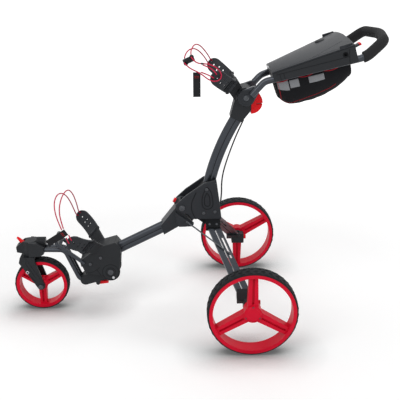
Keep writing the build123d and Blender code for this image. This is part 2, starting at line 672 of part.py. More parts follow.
def cradle_root(hinge, root, size, side):
    """The fixed arm from the frame to a wing's hinge, with its two ears and the pin."""
    width = size[1]
    plane = wing_plane(hinge, side)
    start = Vector(root[0], side * root[1], root[2])
    end = Vector(*plane.origin)
    bar_plane = Plane(origin=start, x_dir=BAG_AXIS, z_dir=end - start)
    arm = extrude(bar_plane * RectangleRounded(0.9 * width, 10, 3), amount=(end - start).length)
    ear = 0.28 * width + SIDE_GAP
    arm -= hinge_knuckle(plane, WING_KNUCKLE_R + 0.7, -ear, ear)
    arm += hinge_knuckle(plane, WING_KNUCKLE_R, ear, width / 2)
    arm += hinge_knuckle(plane, WING_KNUCKLE_R, -width / 2, -ear)
    return arm + hinge_knuckle(plane, WING_PIN_R, -width / 2 - 3, width / 2 + 3)


def make_wings():
    """The four padded wings that hold the bag."""
    for name, side in SIDES.items():
        parts[f"upper_wing_{name}"] = cradle_wing(UPPER_WING_HINGE, UPPER_WING_SIZE, side)
        parts[f"lower_wing_{name}"] = cradle_wing(LOWER_WING_HINGE, LOWER_WING_SIZE, side)


# Hub and upper tube

def upper_tube_bar(radius):
    """The bowed upper tube's outer shape."""
    low, mid, high = [(x, 0, z) for x, z in (UPPER_TUBE_LOW, UPPER_TUBE_MID, UPPER_TUBE_HIGH)]
    line = ThreePointArc(low, mid, high)
    plane = Plane(origin=line @ 0, x_dir=(0, 1, 0), z_dir=line % 0)
    return sweep(plane * tube_section(radius), path=line)


def leg_plane(side):
    """Frame of a leg at its top: x along X, z along the pivot pins, and y across them."""
    across = Vector(0, side * LEG_RUN[1], LEG_RUN[2]).normalized()
    pin_line = Vector(0, -side * across.Z, abs(across.Y))
    return Plane(origin=(LEG_TOP[0], side * LEG_TOP[1], LEG_TOP[2]), x_dir=(1, 0, 0), z_dir=pin_line)


def leg_box(side, at_foot, x_half, inner, outer, low, high):
    """A block in a leg's frame, from inner to outer across the cart and low to high along the pins."""
    plane = leg_plane(side)
    shift = (LEG_RUN[0], hypot(LEG_RUN[1], LEG_RUN[2])) if at_foot else (0, 0)
    middle = Pos(shift[0], side * (shift[1] + (inner + outer) / 2), (low + high) / 2)
    return plane * middle * Box(2 * x_half, outer - inner, high - low)


def leg_pins(side, at_foot, radius, low, high):
    """Cylinders on a leg's two pivot lines."""
    plane = leg_plane(side)
    shift = (LEG_RUN[0], hypot(LEG_RUN[1], LEG_RUN[2])) if at_foot else (0, 0)
    align = (Align.CENTER, Align.CENTER, Align.MIN)
    pins = []
    for sign in (-1, 1):
        spot = Pos(shift[0] + sign * LEG_PITCH / 2, side * shift[1], low)
        pins.append(plane * spot * Cylinder(radius, high - low, align=align))
    return pins


def make_hub():
    """The hub core with its leg forks, two outer shells, bolts, pins and screws."""
    bar_room = LEG_BAR_T / 2 + SIDE_GAP
    plate_top = bar_room + LEG_PLATE_T
    fork_half = LEG_PITCH / 2 + LEG_BAR_W / 2 + 3
    round_room = LEG_BAR_W / 2 + 1

    wide = [(17, 352), (50, 328), (101, 330), (103, 352), (95, 424), (86, 488), (48, 474), (17, 436)]
    core = prism(wide, -CORE_HALF, CORE_HALF)
    tongue = [from_fold(-95, TONGUE_R), (20, 338), (20, 383), from_fold(0, TONGUE_R)]
    core += prism(tongue, -TONGUE_HALF, TONGUE_HALF)
    core += round_y(FOLD_X, FOLD_Z, TONGUE_R, -TONGUE_HALF, TONGUE_HALF)
    core -= upper_tube_bar(BARREL_R)
    core -= round_y(FOLD_X, FOLD_Z, FOLD_BOLT_R, -TONGUE_HALF, TONGUE_HALF)
    for side in SIDES.values():
        core += leg_box(side, False, fork_half, -34, 13, -plate_top, plate_top)
        core -= leg_box(side, False, 2 * fork_half, -round_room, 60, -bar_room, bar_room)
        for hole in leg_pins(side, False, LEG_PIN_R, -plate_top - 1, plate_top + 1):
            core -= hole
    parts["hub_core"] = core

    outline = [(-27, 371), (-8, 366), (18, 330), (52, 326), (107, 349), (98, 421), (88, 491), (46, 478),
               (-16, 434), (-50, 402), (-50, 386)]
    for name, side in SIDES.items():
        inner = side * SHELL_IN
        outer = side * SHELL_OUT
        low, high = min(inner, outer), max(inner, outer)
        shell = prism(outline, low, high)
        shell = fillet(shell.edges().filter_by(Axis.Y), 5)
        face = shell.faces().sort_by(Axis.Y)[0 if side < 0 else -1]
        shell = fillet(face.edges(), 3)
        shell -= leg_box(side, False, 200, -200, 200, -200, plate_top + SIDE_GAP)
        shell -= round_y(FOLD_X, FOLD_Z, FOLD_BOLT_R, low, high)
        for screw_x, screw_z in HUB_SCREWS:
            inset = side * (SHELL_OUT - SCREW_HEAD_T)
            shell -= round_y(screw_x, screw_z, SCREW_HEAD_R, min(inset, outer), max(inset, outer))
        shell += round_between((60, inner, 440), (60, side * CORE_HALF, 440), 14)
        shell += round_between((80, inner, 392), (80, side * CORE_HALF, 392), 12)
        parts[f"hub_shell_{name}"] = shell

    fixings = []
    for side in SIDES.values():
        for screw_x, screw_z in HUB_SCREWS:
            ends = (side * (SHELL_OUT - SCREW_HEAD_T), side * (SHELL_OUT + 0.5))
            fixings.append(round_y(screw_x, screw_z, SCREW_HEAD_R, min(ends), max(ends)))
        heads = leg_pins(side, False, LEG_PIN_R + 3, -plate_top - 2.5, -plate_top)
        for pin, head in zip(leg_pins(side, False, LEG_PIN_R, -plate_top, plate_top), heads):
            fixings.append(pin + head)
    fold_bolt = round_y(FOLD_X, FOLD_Z, FOLD_BOLT_R, -SHELL_OUT, SHELL_OUT)
    hinge_bolt = round_y(HINGE_X, HINGE_Z, HINGE_BOLT_R, -hinge_outside(), hinge_outside())
    for side in SIDES.values():
        ends = (side * SHELL_OUT, side * (SHELL_OUT + 3))
        fold_bolt += round_y(FOLD_X, FOLD_Z, FOLD_BOLT_R + 4, min(ends), max(ends))
        ends = (side * (hinge_outside() + SIDE_GAP), side * (hinge_outside() + 3))
        hinge_bolt += round_y(HINGE_X, HINGE_Z, HINGE_BOLT_R, min(0, ends[0]), max(0, ends[0]))
        hinge_bolt += round_y(HINGE_X, HINGE_Z, HINGE_BOLT_R + 4, min(ends), max(ends))
    fixings += [fold_bolt, hinge_bolt]
    parts["frame_bolts"] = Compound(children=[Part(fixing.wrapped) for fixing in fixings])


def hinge_outside():
    """How far the handle's hinge plates reach from the middle."""
    return BARREL_HALF + SIDE_GAP + PLATE_T


def make_upper_joint():
    """The upper tube, the collar on its end with the bag arms, and the red clamp lever."""
    parts["upper_tube"] = upper_tube_bar(BARREL_R) - upper_tube_bar(BARREL_R - TUBE_WALL)

    collar = prism([(132, 702), (170, 684), (LEVER_X, 722), (LEVER_X, 792), (160, 802), (146, 760)],
                   -COLLAR_HALF, COLLAR_HALF)
    collar += prism([(146, 758), (172, 796), (152, 828), (120, 808), (126, 786)], -COLLAR_HALF, COLLAR_HALF)
    collar += round_y(HINGE_X, HINGE_Z, HINGE_R, -BARREL_HALF, BARREL_HALF)
    for side in SIDES.values():
        collar += cradle_root(UPPER_WING_HINGE, UPPER_ARM_ROOT, UPPER_WING_SIZE, side)
    collar -= upper_tube_bar(BARREL_R)
    lever_room = LEVER_HALF + SIDE_GAP
    collar -= prism([(LEVER_X, 660), (260, 660), (260, 830), (LEVER_X, 830)], -lever_room, lever_room)
    collar += round_y(LEVER_X + 7, 779, 2.5, -COLLAR_HALF - 4, COLLAR_HALF + 4)
    collar -= round_y(HINGE_X, HINGE_Z, HINGE_BOLT_R, -BARREL_HALF, BARREL_HALF)
    parts["upper_collar"] = collar

    behind = LEVER_X + SIDE_GAP
    lever = round_y(behind, LEVER_Z, LEVER_R, -LEVER_HALF, LEVER_HALF)
    reach = behind + 2 * LEVER_R
    lever = lever & prism([(behind, 700), (reach, 700), (reach, 779), (behind, 779)], -LEVER_HALF, LEVER_HALF)
    lever += round_y(LEVER_X + 7, 779, 6.5, -LEVER_HALF, LEVER_HALF)
    lever -= round_y(LEVER_X + 7, 779, 2.5 + RUN_FIT, -LEVER_HALF, LEVER_HALF)
    lever -= Pos(LEVER_X + 32, 0, LEVER_Z - 4) * Box(30, 2 * LEVER_HALF, 3)
    parts["clamp_lever"] = lever


# Legs, carriers and spreader rods

def make_legs():
    """Two bars, the wheel carrier and the quick-release button of each leg."""
    length = hypot(*LEG_RUN)
    bar_room = LEG_BAR_T / 2 + SIDE_GAP
    plate_top = bar_room + LEG_PLATE_T
    fork_half = LEG_PITCH / 2 + LEG_BAR_W / 2 + 3
    round_room = LEG_BAR_W / 2 + 1
    for name, side in SIDES.items():
        frame = leg_plane(side)
        run = Vector(LEG_RUN[0], side * LEG_RUN[1], LEG_RUN[2])
        for bar_name, sign in (("front", -1), ("rear", 1)):
            top = Vector(*frame.origin) + Vector(sign * LEG_PITCH / 2, 0, 0)
            plane = Plane(origin=top, x_dir=run, z_dir=frame.z_dir)
            outline = Pos(length / 2, 0) * SlotCenterToCenter(length, LEG_BAR_W)
            bar = extrude(plane * outline, amount=LEG_BAR_T / 2, both=True)
            if bar_name == "rear":
                slot_start, slot_end, slot_w = LEG_SLOT
                slot = Pos((slot_start + slot_end) / 2, 0) * SlotCenterToCenter(slot_end - slot_start, slot_w)
                bar -= extrude(plane * slot, amount=LEG_BAR_T, both=True)
            for along in (0, length):
                bar -= plane * Pos(along, 0, 0) * Cylinder(LEG_PIN_R + RUN_FIT, 2 * LEG_BAR_T)
            parts[f"leg_bar_{bar_name}_{name}"] = bar

        axle_z = REAR_WHEEL_D / 2
        middle = side * (CARRIER_Y[0] + CARRIER_Y[1]) / 2
        block = Pos(REAR_AXLE_X + sum(CARRIER_X) / 2, middle, axle_z + sum(CARRIER_Z) / 2) * Box(
            CARRIER_X[1] - CARRIER_X[0], CARRIER_Y[1] - CARRIER_Y[0], CARRIER_Z[1] - CARRIER_Z[0])
        block = fillet(block.edges(), 4)
        block += leg_box(side, True, fork_half, -13, 30, -plate_top, plate_top)
        block -= leg_box(side, True, 2 * fork_half, -80, round_room, -bar_room, bar_room)
        for pin in leg_pins(side, True, LEG_PIN_R, -plate_top, plate_top):
            block += pin
        reach = (side * (CARRIER_Y[0] + 4), side * (CARRIER_Y[1] + 1))
        block -= round_y(REAR_AXLE_X, axle_z, REAR_AXLE_R + RUN_FIT, min(reach), max(reach))
        rear_face = REAR_AXLE_X + CARRIER_X[1]
        button_y = side * release_y()
        button_z = axle_z + 5
        button_in = rear_face - 9
        block -= round_between((button_in - RELEASE_TRAVEL - SIDE_GAP, button_y, button_z),
                               (rear_face + 1, button_y, button_z), RELEASE_R + RUN_FIT)
        parts[f"wheel_carrier_{name}"] = block
        parts[f"wheel_release_{name}"] = round_between(
            (button_in, button_y, button_z), (rear_face + RELEASE_PROUD, button_y, button_z), RELEASE_R)


def release_y():
    """Where the quick-release button's line crosses the axle, from the middle of the cart."""
    return sum(CARRIER_Y) / 2 - 6


def rod_end(side):
    """The rear end of a spreader rod, over the rear bar's slot."""
    run = Vector(LEG_RUN[0], side * LEG_RUN[1], LEG_RUN[2]).normalized()
    frame = leg_plane(side)
    top = Vector(*frame.origin) + Vector(LEG_PITCH / 2, 0, 0)
    return top + run * ROD_ALONG_BAR + frame.z_dir * ROD_LIFT


def rod_seat_r():
    """Radius of the ball that sits in the edges of the rear bar's slot."""
    return hypot(LEG_SLOT[2] / 2, ROD_LIFT - LEG_BAR_T / 2) - SIDE_GAP


def make_rods():
    """Thin rods with a ball at the knuckle and a larger one seated in the rear bar's slot."""
    for name, side in SIDES.items():
        start = Vector(ROD_FRONT[0], side * ROD_FRONT[1], ROD_FRONT[2])
        end = rod_end(side)
        rod = round_between(start, end, ROD_R)
        rod += Pos(*start) * Sphere(ROD_BALL_R)
        rod += Pos(*end) * Sphere(rod_seat_r())
        parts[f"spreader_rod_{name}"] = rod


# Handle, grip, console, net and brake lever

def handle_points(side):
    """The handle tube's centre line on one side, from the hinge plate to the corner."""
    start = (HINGE_X + 16, HANDLE_BEND[1], HINGE_Z + 9)
    return [(x, side * y, z) for x, y, z in (start, HANDLE_BEND, HANDLE_REAR, HANDLE_CORNER)]


def handle_line():
    """The whole bent tube, from the left hinge plate round the grip to the right one."""
    points = handle_points(-1) + [HANDLE_CREST] + list(reversed(handle_points(1)))
    return FilletPolyline(*points, radius=[40, 60, 34, 200, 34, 60, 40])


def grip_line():
    """The handle's line from behind the console round the loop; the foam lies on its rear stretch."""
    points = handle_points(-1)[1:] + [HANDLE_CREST] + list(reversed(handle_points(1)[1:]))
    return FilletPolyline(*points, radius=[60, 34, 200, 34, 60])


def slope_plane(along, up=0.0):
    """A frame across the console at a distance along the handle's slope; x to the right, y up."""
    start = Vector(HANDLE_BEND[0], 0, HANDLE_BEND[2])
    end = Vector(HANDLE_REAR[0], 0, HANDLE_REAR[2])
    heading = (end - start).normalized()
    upward = Vector(-heading.Z, 0, heading.X)
    return Plane(origin=start + heading * along + upward * up, x_dir=(0, 1, 0), z_dir=heading)


def tube_half(along):
    """How far a handle tube is from the middle, along the slope."""
    span = hypot(HANDLE_REAR[0] - HANDLE_BEND[0], HANDLE_REAR[2] - HANDLE_BEND[2])
    return HANDLE_BEND[1] + (HANDLE_REAR[1] - HANDLE_BEND[1]) * along / span


def console_top(along):
    """Height of the tray's rim above the tubes' centre plane."""
    share = (along - CONSOLE_START) / (CONSOLE_END - CONSOLE_START)
    return CONSOLE_FRONT_H + (CONSOLE_REAR_H - CONSOLE_FRONT_H) * share


def console_block(start, end, side_room, floor, top_room):
    """A tapering block between two places along the slope."""
    faces = []
    for along in (start, end):
        half = tube_half(along) + side_room
        top = console_top(along) + top_room
        middle = Pos(0, (floor + top) / 2)
        faces.append(slope_plane(along) * middle * Rectangle(2 * half, top - floor))
    return loft(faces)


def lid_section(along, grow):
    """The lid's crowned cross-section."""
    half = tube_half(along) + CONSOLE_SIDE + grow
    low = console_top(along) + SIDE_GAP
    high = low + LID_T
    crown = high + LID_CROWN
    walls = Polyline((-half, high), (-half, low), (half, low), (half, high))
    roof = ThreePointArc((half, high), (0, crown), (-half, high))
    return slope_plane(along) * make_face([*walls.edges(), roof])


def make_handle():
    """The handle tube with its hinge plates, the foam grip, the console, its lid and the net."""
    line = handle_line()
    bar = sweep(Plane(origin=line @ 0, z_dir=line % 0) * Circle(HANDLE_TUBE_R), path=line)
    bore = sweep(Plane(origin=line @ 0, z_dir=line % 0) * Circle(HANDLE_TUBE_R - TUBE_WALL), path=line)
    handle = bar - bore
    for side in SIDES.values():
        ends = (side * (BARREL_HALF + SIDE_GAP), side * hinge_outside())
        start = handle_points(side)[0]
        plate = link((HINGE_X, HINGE_Z), PLATE_R, (start[0] + 9, start[2] + 12), 16, min(ends), max(ends))
        handle += plate - round_y(HINGE_X, HINGE_Z, HINGE_BOLT_R + RUN_FIT, min(ends), max(ends))
    parts["handle_tube"] = handle

    foam_line = grip_line()
    foam = sweep(Plane(origin=foam_line @ 0, z_dir=foam_line % 0) * Circle(GRIP_R), path=foam_line)
    before = slope_plane(GRIP_START) * Box(
        4 * HANDLE_REAR[1], 4 * HANDLE_REAR[1], 2 * GRIP_START, align=(Align.CENTER, Align.CENTER, Align.MAX))
    parts["handle_grip"] = foam - before - bar

    tray = console_block(CONSOLE_START, CONSOLE_END, CONSOLE_SIDE, CONSOLE_FLOOR, 0)
    hollow = console_block(CONSOLE_START + CONSOLE_WALL, CONSOLE_END - CONSOLE_WALL,
                           -CONSOLE_SIDE - CONSOLE_WALL, CONSOLE_FLOOR + CONSOLE_WALL, 5)
    tray = tray - hollow - bar
    for side in SIDES.values():
        boss, bore = accessory_socket(side)
        tray = tray + (boss - bar) - bore
    brake_at = slope_plane(CONSOLE_END + BRAKE_PIVOT_BEHIND, BRAKE_PIVOT_UP)
    ear_in = BRAKE_HALF + SIDE_GAP
    ear_high = 2 * (BRAKE_BARREL_R + 2)
    ear_long = BRAKE_PIVOT_BEHIND + BRAKE_BARREL_R + 1
    for sign in (-1, 1):
        ear = Pos(sign * (ear_in + BRAKE_EAR_T / 2), 0, -BRAKE_PIVOT_BEHIND - 1) * Box(
            BRAKE_EAR_T, ear_high, ear_long, align=(Align.CENTER, Align.CENTER, Align.MIN))
        tray += brake_at * ear
    tray += brake_at * Rot(0, 90, 0) * Cylinder(BRAKE_PIN_R, 2 * (ear_in + BRAKE_EAR_T))
    parts["console_tray"] = tray

    lid = loft([lid_section(along, 0) for along in (CONSOLE_START, CONSOLE_END)])
    lid_room = loft([lid_room_section(along) for along in (CONSOLE_START + 4, CONSOLE_END - 4)])
    parts["console_lid"] = lid - lid_room

    paddle = Box(2 * BRAKE_HALF, BRAKE_T, BRAKE_REACH, align=(Align.CENTER, Align.CENTER, Align.MIN))
    lever = Rot(0, 90, 0) * Cylinder(BRAKE_BARREL_R, 2 * BRAKE_HALF) + Rot(-BRAKE_PITCH, 0, 0) * paddle
    lever -= Rot(0, 90, 0) * Cylinder(BRAKE_PIN_R + RUN_FIT, 4 * BRAKE_HALF)
    parts["brake_lever"] = brake_at * lever
    parts["storage_net"] = net_body(0) - net_body(NET_T)


def lid_room_section(along):
    """The hollow under the lid's crown."""
    half = tube_half(along) + CONSOLE_SIDE - 4
    low = console_top(along)
    high = low + SIDE_GAP + 0.5
    crown = high + LID_CROWN
    walls = Polyline((-half, high), (-half, low), (half, low), (half, high))
    roof = ThreePointArc((half, high), (0, crown), (-half, high))
    return slope_plane(along) * make_face([*walls.edges(), roof])


def accessory_socket(side):
    """The boss and the blind hole square to the console's side, for an umbrella or drink holder."""
    along = CONSOLE_END - SOCKET_FROM_END
    spot = slope_plane(along, SOCKET_UP) * Pos(side * (tube_half(along) + CONSOLE_SIDE), 0, 0)
    heading = slope_plane(along).z_dir
    outward = (Vector(0, side, 0) - heading * (tube_half(1.0) - tube_half(0.0))).normalized()
    face = Vector(*spot.position) + outward * SOCKET_BOSS_PROUD
    boss = round_between(face - outward * 2 * SOCKET_BOSS_PROUD, face, SOCKET_BOSS_R)
    return boss, round_between(face - outward * SOCKET_DEPTH, face + outward * SOCKET_DEPTH, SOCKET_R)


def net_section(along, depth, inset):
    """A round-bottomed U under the tray's floor, open at its top; inset gives the inner face."""
    half = tube_half(along) - HANDLE_TUBE_R - 2 - inset
    top = OVERCUT if inset else 0.0
    low = inset - depth
    outline = [Line((-half, top), (half, top)), Line((half, top), (0.8 * half, 0.55 * low)),
               ThreePointArc((0.8 * half, 0.55 * low), (0, low), (-0.8 * half, 0.55 * low)),
               Line((-0.8 * half, 0.55 * low), (-half, top))]
    return slope_plane(along, CONSOLE_FLOOR - SIDE_GAP) * make_face(outline)


def net_body(inset):
    """The storage net's shape, deepest behind its front end and open at the rear."""
    sections = []
    for index, (behind, depth) in enumerate(NET_STATIONS):
        along = CONSOLE_START + behind + (inset if index == 0 else 0)
        sections.append(net_section(along, depth, inset))
    return loft(sections, ruled=True)


# Cords and cable

BRAKE_CABLE = ((178, -8, 690), (160, -8, 650), (143, -8, 606), (127, -8, 560), (112, -8, 508),
               (107, -8, 468), (108, -8, 430), (104, -8, 396))


UPPER_CORD_A = ((71.5, 131.6, 850.7), (64.9, 118, 856), (53, 102, 878), (34, 74, 903), (17, 40, 917),
                (3, 0, 921), (-8, -40, 919), (-15, -78, 913), (-17, -98.5, 907))
UPPER_CORD_B = ((80.2, 131.6, 861.6), (73.6, 118, 866.9), (62, 101, 889), (42, 72, 917), (27, 38, 931),
                (15, -4, 935), (7, -46, 930), (2, -83, 922), (4, -98, 913))
UPPER_LOOP = ((3, -115, 913), (12, -121, 902), (24, -130, 896), (39, -138, 896), (57, -141, 895),
              (76, -139, 887), (91, -132, 873), (97, -129, 858), (92, -132, 846), (76, -139, 841),
              (57, -141, 847), (41, -138, 859), (27, -132, 868), (10, -127, 875), (-6, -121, 883),
              (-18, -115, 895))
UPPER_TIES = (((38, -137, 892), (53, -139, 887), (66, -141, 880), (75, -140.5, 871.5), (80.5, -137, 864),
               (80.2, -131.5, 861.7), (76.5, -124, 864.6)),
              ((33, -131, 869), (46, -136, 865), (57, -139, 861), (66, -140, 856), (71.8, -137, 852.5),
               (71.5, -131.6, 850.7), (67.8, -124, 853.7)))
LOWER_CORD_A = ((-405.4, 127.2, 301.6), (-413.1, 114.6, 307.8), (-419, 105, 334), (-427, 90, 368),
                (-436, 66, 401), (-446, 32, 424), (-456, -6, 431), (-460, -44, 421), (-455, -78, 402),
                (-443, -106, 377), (-427, -126, 350))
LOWER_CORD_B = ((-396.6, 127.2, 312.5), (-404.3, 114.6, 318.7), (-406, 104, 346), (-410, 88, 380),
                (-416, 66, 413), (-424, 34, 436), (-433, -4, 436), (-439, -42, 423), (-440, -76, 403),
                (-433, -104, 378), (-421, -126, 354))
LOWER_TIES = (((-400.9, -120.1, 316), (-396.6, -127.2, 312.5), (-395.8, -134.5, 316.5), (-400, -135, 325),
               (-404.5, -130, 333)),
              ((-409.7, -120.1, 305.1), (-405.4, -127.2, 301.6), (-404.7, -134.5, 305.5), (-409, -135, 314),
               (-413, -130, 323)))


def make_cords():
    """The brake cable down the upper tube and the elastic cords of both cradles."""
    cable = cord_tube(BRAKE_CABLE, CABLE_D, "brake_cable")
    parts["brake_cable"] = cable - parts["hub_core"] - parts["upper_collar"]
    single = {"upper_cord_a": UPPER_CORD_A, "upper_cord_b": UPPER_CORD_B, "upper_cord_loop": UPPER_LOOP,
              "lower_cord_a": LOWER_CORD_A, "lower_cord_b": LOWER_CORD_B}
    for name, route in single.items():
        parts[name] = cord_tube(route, CORD_D, name)
    for name, routes in {"upper_cord_ties": UPPER_TIES, "lower_cord_ties": LOWER_TIES}.items():
        tubes = [cord_tube(route, CORD_D, name) for route in routes]
        parts[name] = Compound(children=[Part(tube.wrapped) for tube in tubes])


def make_cord_fittings():
    """The cord buckle and the two webbing pulls."""
    buckle = Box(*BUCKLE_SIZE)
    buckle = fillet(buckle.edges().filter_by(Axis.Y), BUCKLE_SIZE[1] * 0.3)
    parts["cord_buckle"] = Pos(*BUCKLE_AT) * Rot(0, BUCKLE_PITCH, 0) * buckle
    first, second = STRAP_TOP
    strap = [first, second, (second[0], STRAP_LOW), (first[0], STRAP_LOW)]
    parts["upper_pull_strap"] = prism(strap, STRAP_Y - WEBBING_T / 2, STRAP_Y + WEBBING_T / 2)
    run = Vector(TAB_END[0] - TAB_TOP[0], 0, TAB_END[1] - TAB_TOP[1])
    edge = Vector(run.Z, 0, -run.X).normalized() * (WEBBING_W / 2)
    tab = [(x + sign * edge.X, z + sign * edge.Z) for (x, z), sign in
           ((TAB_TOP, 1), (TAB_END, 1), (TAB_END, -1), (TAB_TOP, -1))]
    parts["lower_pull_tab"] = prism(tab, TAB_Y - WEBBING_T / 2, TAB_Y + WEBBING_T / 2)


def build():
    """Make every piece and write it."""
    make_rear_wheels()
    make_front_wheel()
    make_front_fork()
    make_front_arm()
    make_arm_pedal()
    make_front_tube()
    make_front_knuckle()
    make_lower_bracket()
    make_bag_rest()
    make_wings()
    make_hub()
    make_upper_joint()
    make_legs()
    make_rods()
    make_handle()
    make_cords()
    make_cord_fittings()
    os.makedirs("parts", exist_ok=True)
    for name, solid in parts.items():
        export_step(solid, f"parts/{name}.step")


build()
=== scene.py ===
"""Looks of a folding three-wheel golf push cart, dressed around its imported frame.

Lengths are in metres in the cart's own frame: +Z is up, the front wheel is towards -X, the push handle
towards +X, and the cart's left side, which faces the camera, is at -Y.
"""

import json
import logging
import math
from collections.abc import Iterable, Sequence
from dataclasses import dataclass
from enum import Enum

import bmesh
import bpy
import numpy as np
from mathutils import Matrix, Vector
from mathutils.bvhtree import BVHTree

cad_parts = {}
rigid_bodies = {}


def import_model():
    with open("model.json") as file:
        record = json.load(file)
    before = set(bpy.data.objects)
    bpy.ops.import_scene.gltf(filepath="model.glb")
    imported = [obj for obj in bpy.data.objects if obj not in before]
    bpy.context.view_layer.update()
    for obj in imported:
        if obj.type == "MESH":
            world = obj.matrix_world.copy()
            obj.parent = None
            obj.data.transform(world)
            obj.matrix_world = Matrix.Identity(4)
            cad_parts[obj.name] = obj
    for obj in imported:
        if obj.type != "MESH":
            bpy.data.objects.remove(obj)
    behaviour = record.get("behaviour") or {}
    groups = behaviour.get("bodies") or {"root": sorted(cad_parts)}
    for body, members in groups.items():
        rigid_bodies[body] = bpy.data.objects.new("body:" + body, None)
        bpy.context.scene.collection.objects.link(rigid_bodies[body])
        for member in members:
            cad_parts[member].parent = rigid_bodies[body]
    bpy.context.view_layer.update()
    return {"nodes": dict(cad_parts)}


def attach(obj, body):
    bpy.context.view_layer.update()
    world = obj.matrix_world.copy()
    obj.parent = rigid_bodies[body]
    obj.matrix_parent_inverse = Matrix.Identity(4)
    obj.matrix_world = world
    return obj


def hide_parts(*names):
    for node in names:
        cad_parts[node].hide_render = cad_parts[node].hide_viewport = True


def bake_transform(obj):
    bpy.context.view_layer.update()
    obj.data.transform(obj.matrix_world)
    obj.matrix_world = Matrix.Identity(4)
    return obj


LOG = logging.getLogger("push_cart")
MM = 0.001
WELD = 2e-6
LINE_STEPS = 10
LINE_ORDER = 3
FULL_TURN = 2 * math.pi
REAR_AXLE = (191, 145)
FRONT_AXLE = (-530, 96)
HANDLE_HINGE = (181, 772)

Point = Sequence[float]
Colour = tuple[float, float, float]
Value = bpy.types.NodeSocket | float | Sequence[float]


class Side(Enum):
    """A side of the cart, with its sign along Y."""

    LEFT = -1
    RIGHT = 1

    @property
    def word(self) -> str:
        """The side's name as the nodes have it."""
        return self.name.lower()


class Pattern(Enum):
    """How a finish varies over its surface."""

    GRAIN = "moulded grain"
    WEAVE = "woven threads"
    BRAID = "braided sleeve"


@dataclass(frozen=True)
class Finish:
    """One surface finish of the cart.

    Colours are linear. Grains are repeats per metre, or repeats along a cord. Depth is the bump's in metres.
    """

    name: str
    slot: str
    light: Colour
    dark: Colour
    roughness: float
    metallic: float = 0.0
    coat: float = 0.0
    specular: float = 0.5
    pattern: Pattern = Pattern.GRAIN
    grains: float = 1400.0
    patches: float = 16.0
    depth: float = 0.00010
    wear: float = 0.25
    worn: Colour = (0.20, 0.21, 0.23)
    round_edges: float = 0.0006


GRAPHITE = Finish("graphite_coat", "graphite_tube", (0.045, 0.051, 0.062), (0.030, 0.034, 0.042), 0.33,
                  metallic=0.6, coat=0.05, grains=2600, depth=0.00004, wear=0.3, worn=(0.24, 0.25, 0.27))
MOULDED = Finish("moulded_black", "black_plastic", (0.018, 0.020, 0.023), (0.012, 0.0135, 0.016), 0.50,
                 specular=0.22, grains=1700, depth=0.00012, worn=(0.10, 0.105, 0.115))
SATIN = Finish("satin_black", "black_plastic", (0.024, 0.027, 0.032), (0.016, 0.018, 0.022), 0.44,
               specular=0.20, grains=2100, depth=0.00007, worn=(0.12, 0.125, 0.135))
# Near-black finish for painted shade: lines and pads in grooves, seams and recesses, and the hub core
# darkened below its own black plastic.
SHADOW = Finish("inner_black", "black_plastic", (0.007, 0.0075, 0.009), (0.0045, 0.005, 0.006), 0.6,
                specular=0.12, grains=1500, depth=0.00010, wear=0.05)
WHEEL_RED = Finish("wheel_red", "red_plastic", (0.72, 0.006, 0.032), (0.58, 0.004, 0.023), 0.40,
                   coat=0.03, specular=0.09, grains=1900, depth=0.00005, wear=0.18, worn=(0.80, 0.08, 0.11))
LEVER_RED = Finish("lever_red", "red_plastic", (0.82, 0.005, 0.010), (0.70, 0.004, 0.008), 0.34,
                   coat=0.05, specular=0.15, grains=1900, depth=0.00004, wear=0.15, worn=(0.92, 0.09, 0.10))
RUBBER = Finish("tyre_black", "tyre_rubber", (0.020, 0.0215, 0.024), (0.012, 0.013, 0.015), 0.72,
                specular=0.14, grains=900, depth=0.00022, wear=0.25, worn=(0.06, 0.062, 0.066))
FOAM = Finish("grip_foam", "foam", (0.026, 0.026, 0.027), (0.017, 0.017, 0.018), 0.86,
              specular=0.14, grains=1100, depth=0.00035, wear=0.1, worn=(0.06, 0.06, 0.06))
STEEL = Finish("plated_steel", "steel", (0.62, 0.63, 0.65), (0.48, 0.49, 0.51), 0.30, metallic=1.0,
               grains=3000, depth=0.00003, wear=0.2, worn=(0.8, 0.8, 0.8))
DARK_STEEL = Finish("black_steel", "steel", (0.085, 0.090, 0.100), (0.050, 0.054, 0.060), 0.38, metallic=0.6,
                    grains=2400, depth=0.00004, wear=0.4, worn=(0.22, 0.23, 0.25))
NET_BLACK = Finish("net_black", "net_fabric", (0.015, 0.0155, 0.018), (0.005, 0.005, 0.006), 0.82,
                   specular=0.1, pattern=Pattern.WEAVE, grains=420, depth=0.0004, wear=0.0)
WINDOW = Finish("window_mesh", "net_fabric", (0.38, 0.39, 0.41), (0.10, 0.105, 0.115), 0.7,
                specular=0.2, pattern=Pattern.WEAVE, grains=300, depth=0.0003, wear=0.0)
PIPING = Finish("red_piping", "net_fabric", (0.40, 0.008, 0.022), (0.20, 0.004, 0.010), 0.7,
                specular=0.2, pattern=Pattern.WEAVE, grains=700, depth=0.0002, wear=0.0)
BRAID_RED = Finish("red_cord_braid", "red_cord", (0.60, 0.018, 0.075), (0.36, 0.008, 0.034), 0.55,
                   specular=0.25, pattern=Pattern.BRAID, grains=110, depth=0.00022, wear=0.0)
WEBBING = Finish("black_webbing", "webbing", (0.022, 0.023, 0.026), (0.008, 0.008, 0.009), 0.78,
                 specular=0.15, pattern=Pattern.WEAVE, grains=560, depth=0.00035, wear=0.0)
THREAD = Finish("red_thread", "webbing", (0.62, 0.020, 0.024), (0.40, 0.012, 0.014), 0.65,
                specular=0.2, grains=2000, depth=0.0001, wear=0.0)
SHEATH = Finish("cable_black", "cable_sheath", (0.014, 0.014, 0.016), (0.009, 0.009, 0.010), 0.42,
                specular=0.3, grains=1500, depth=0.00005, wear=0.0)


# Shared ways of building node trees


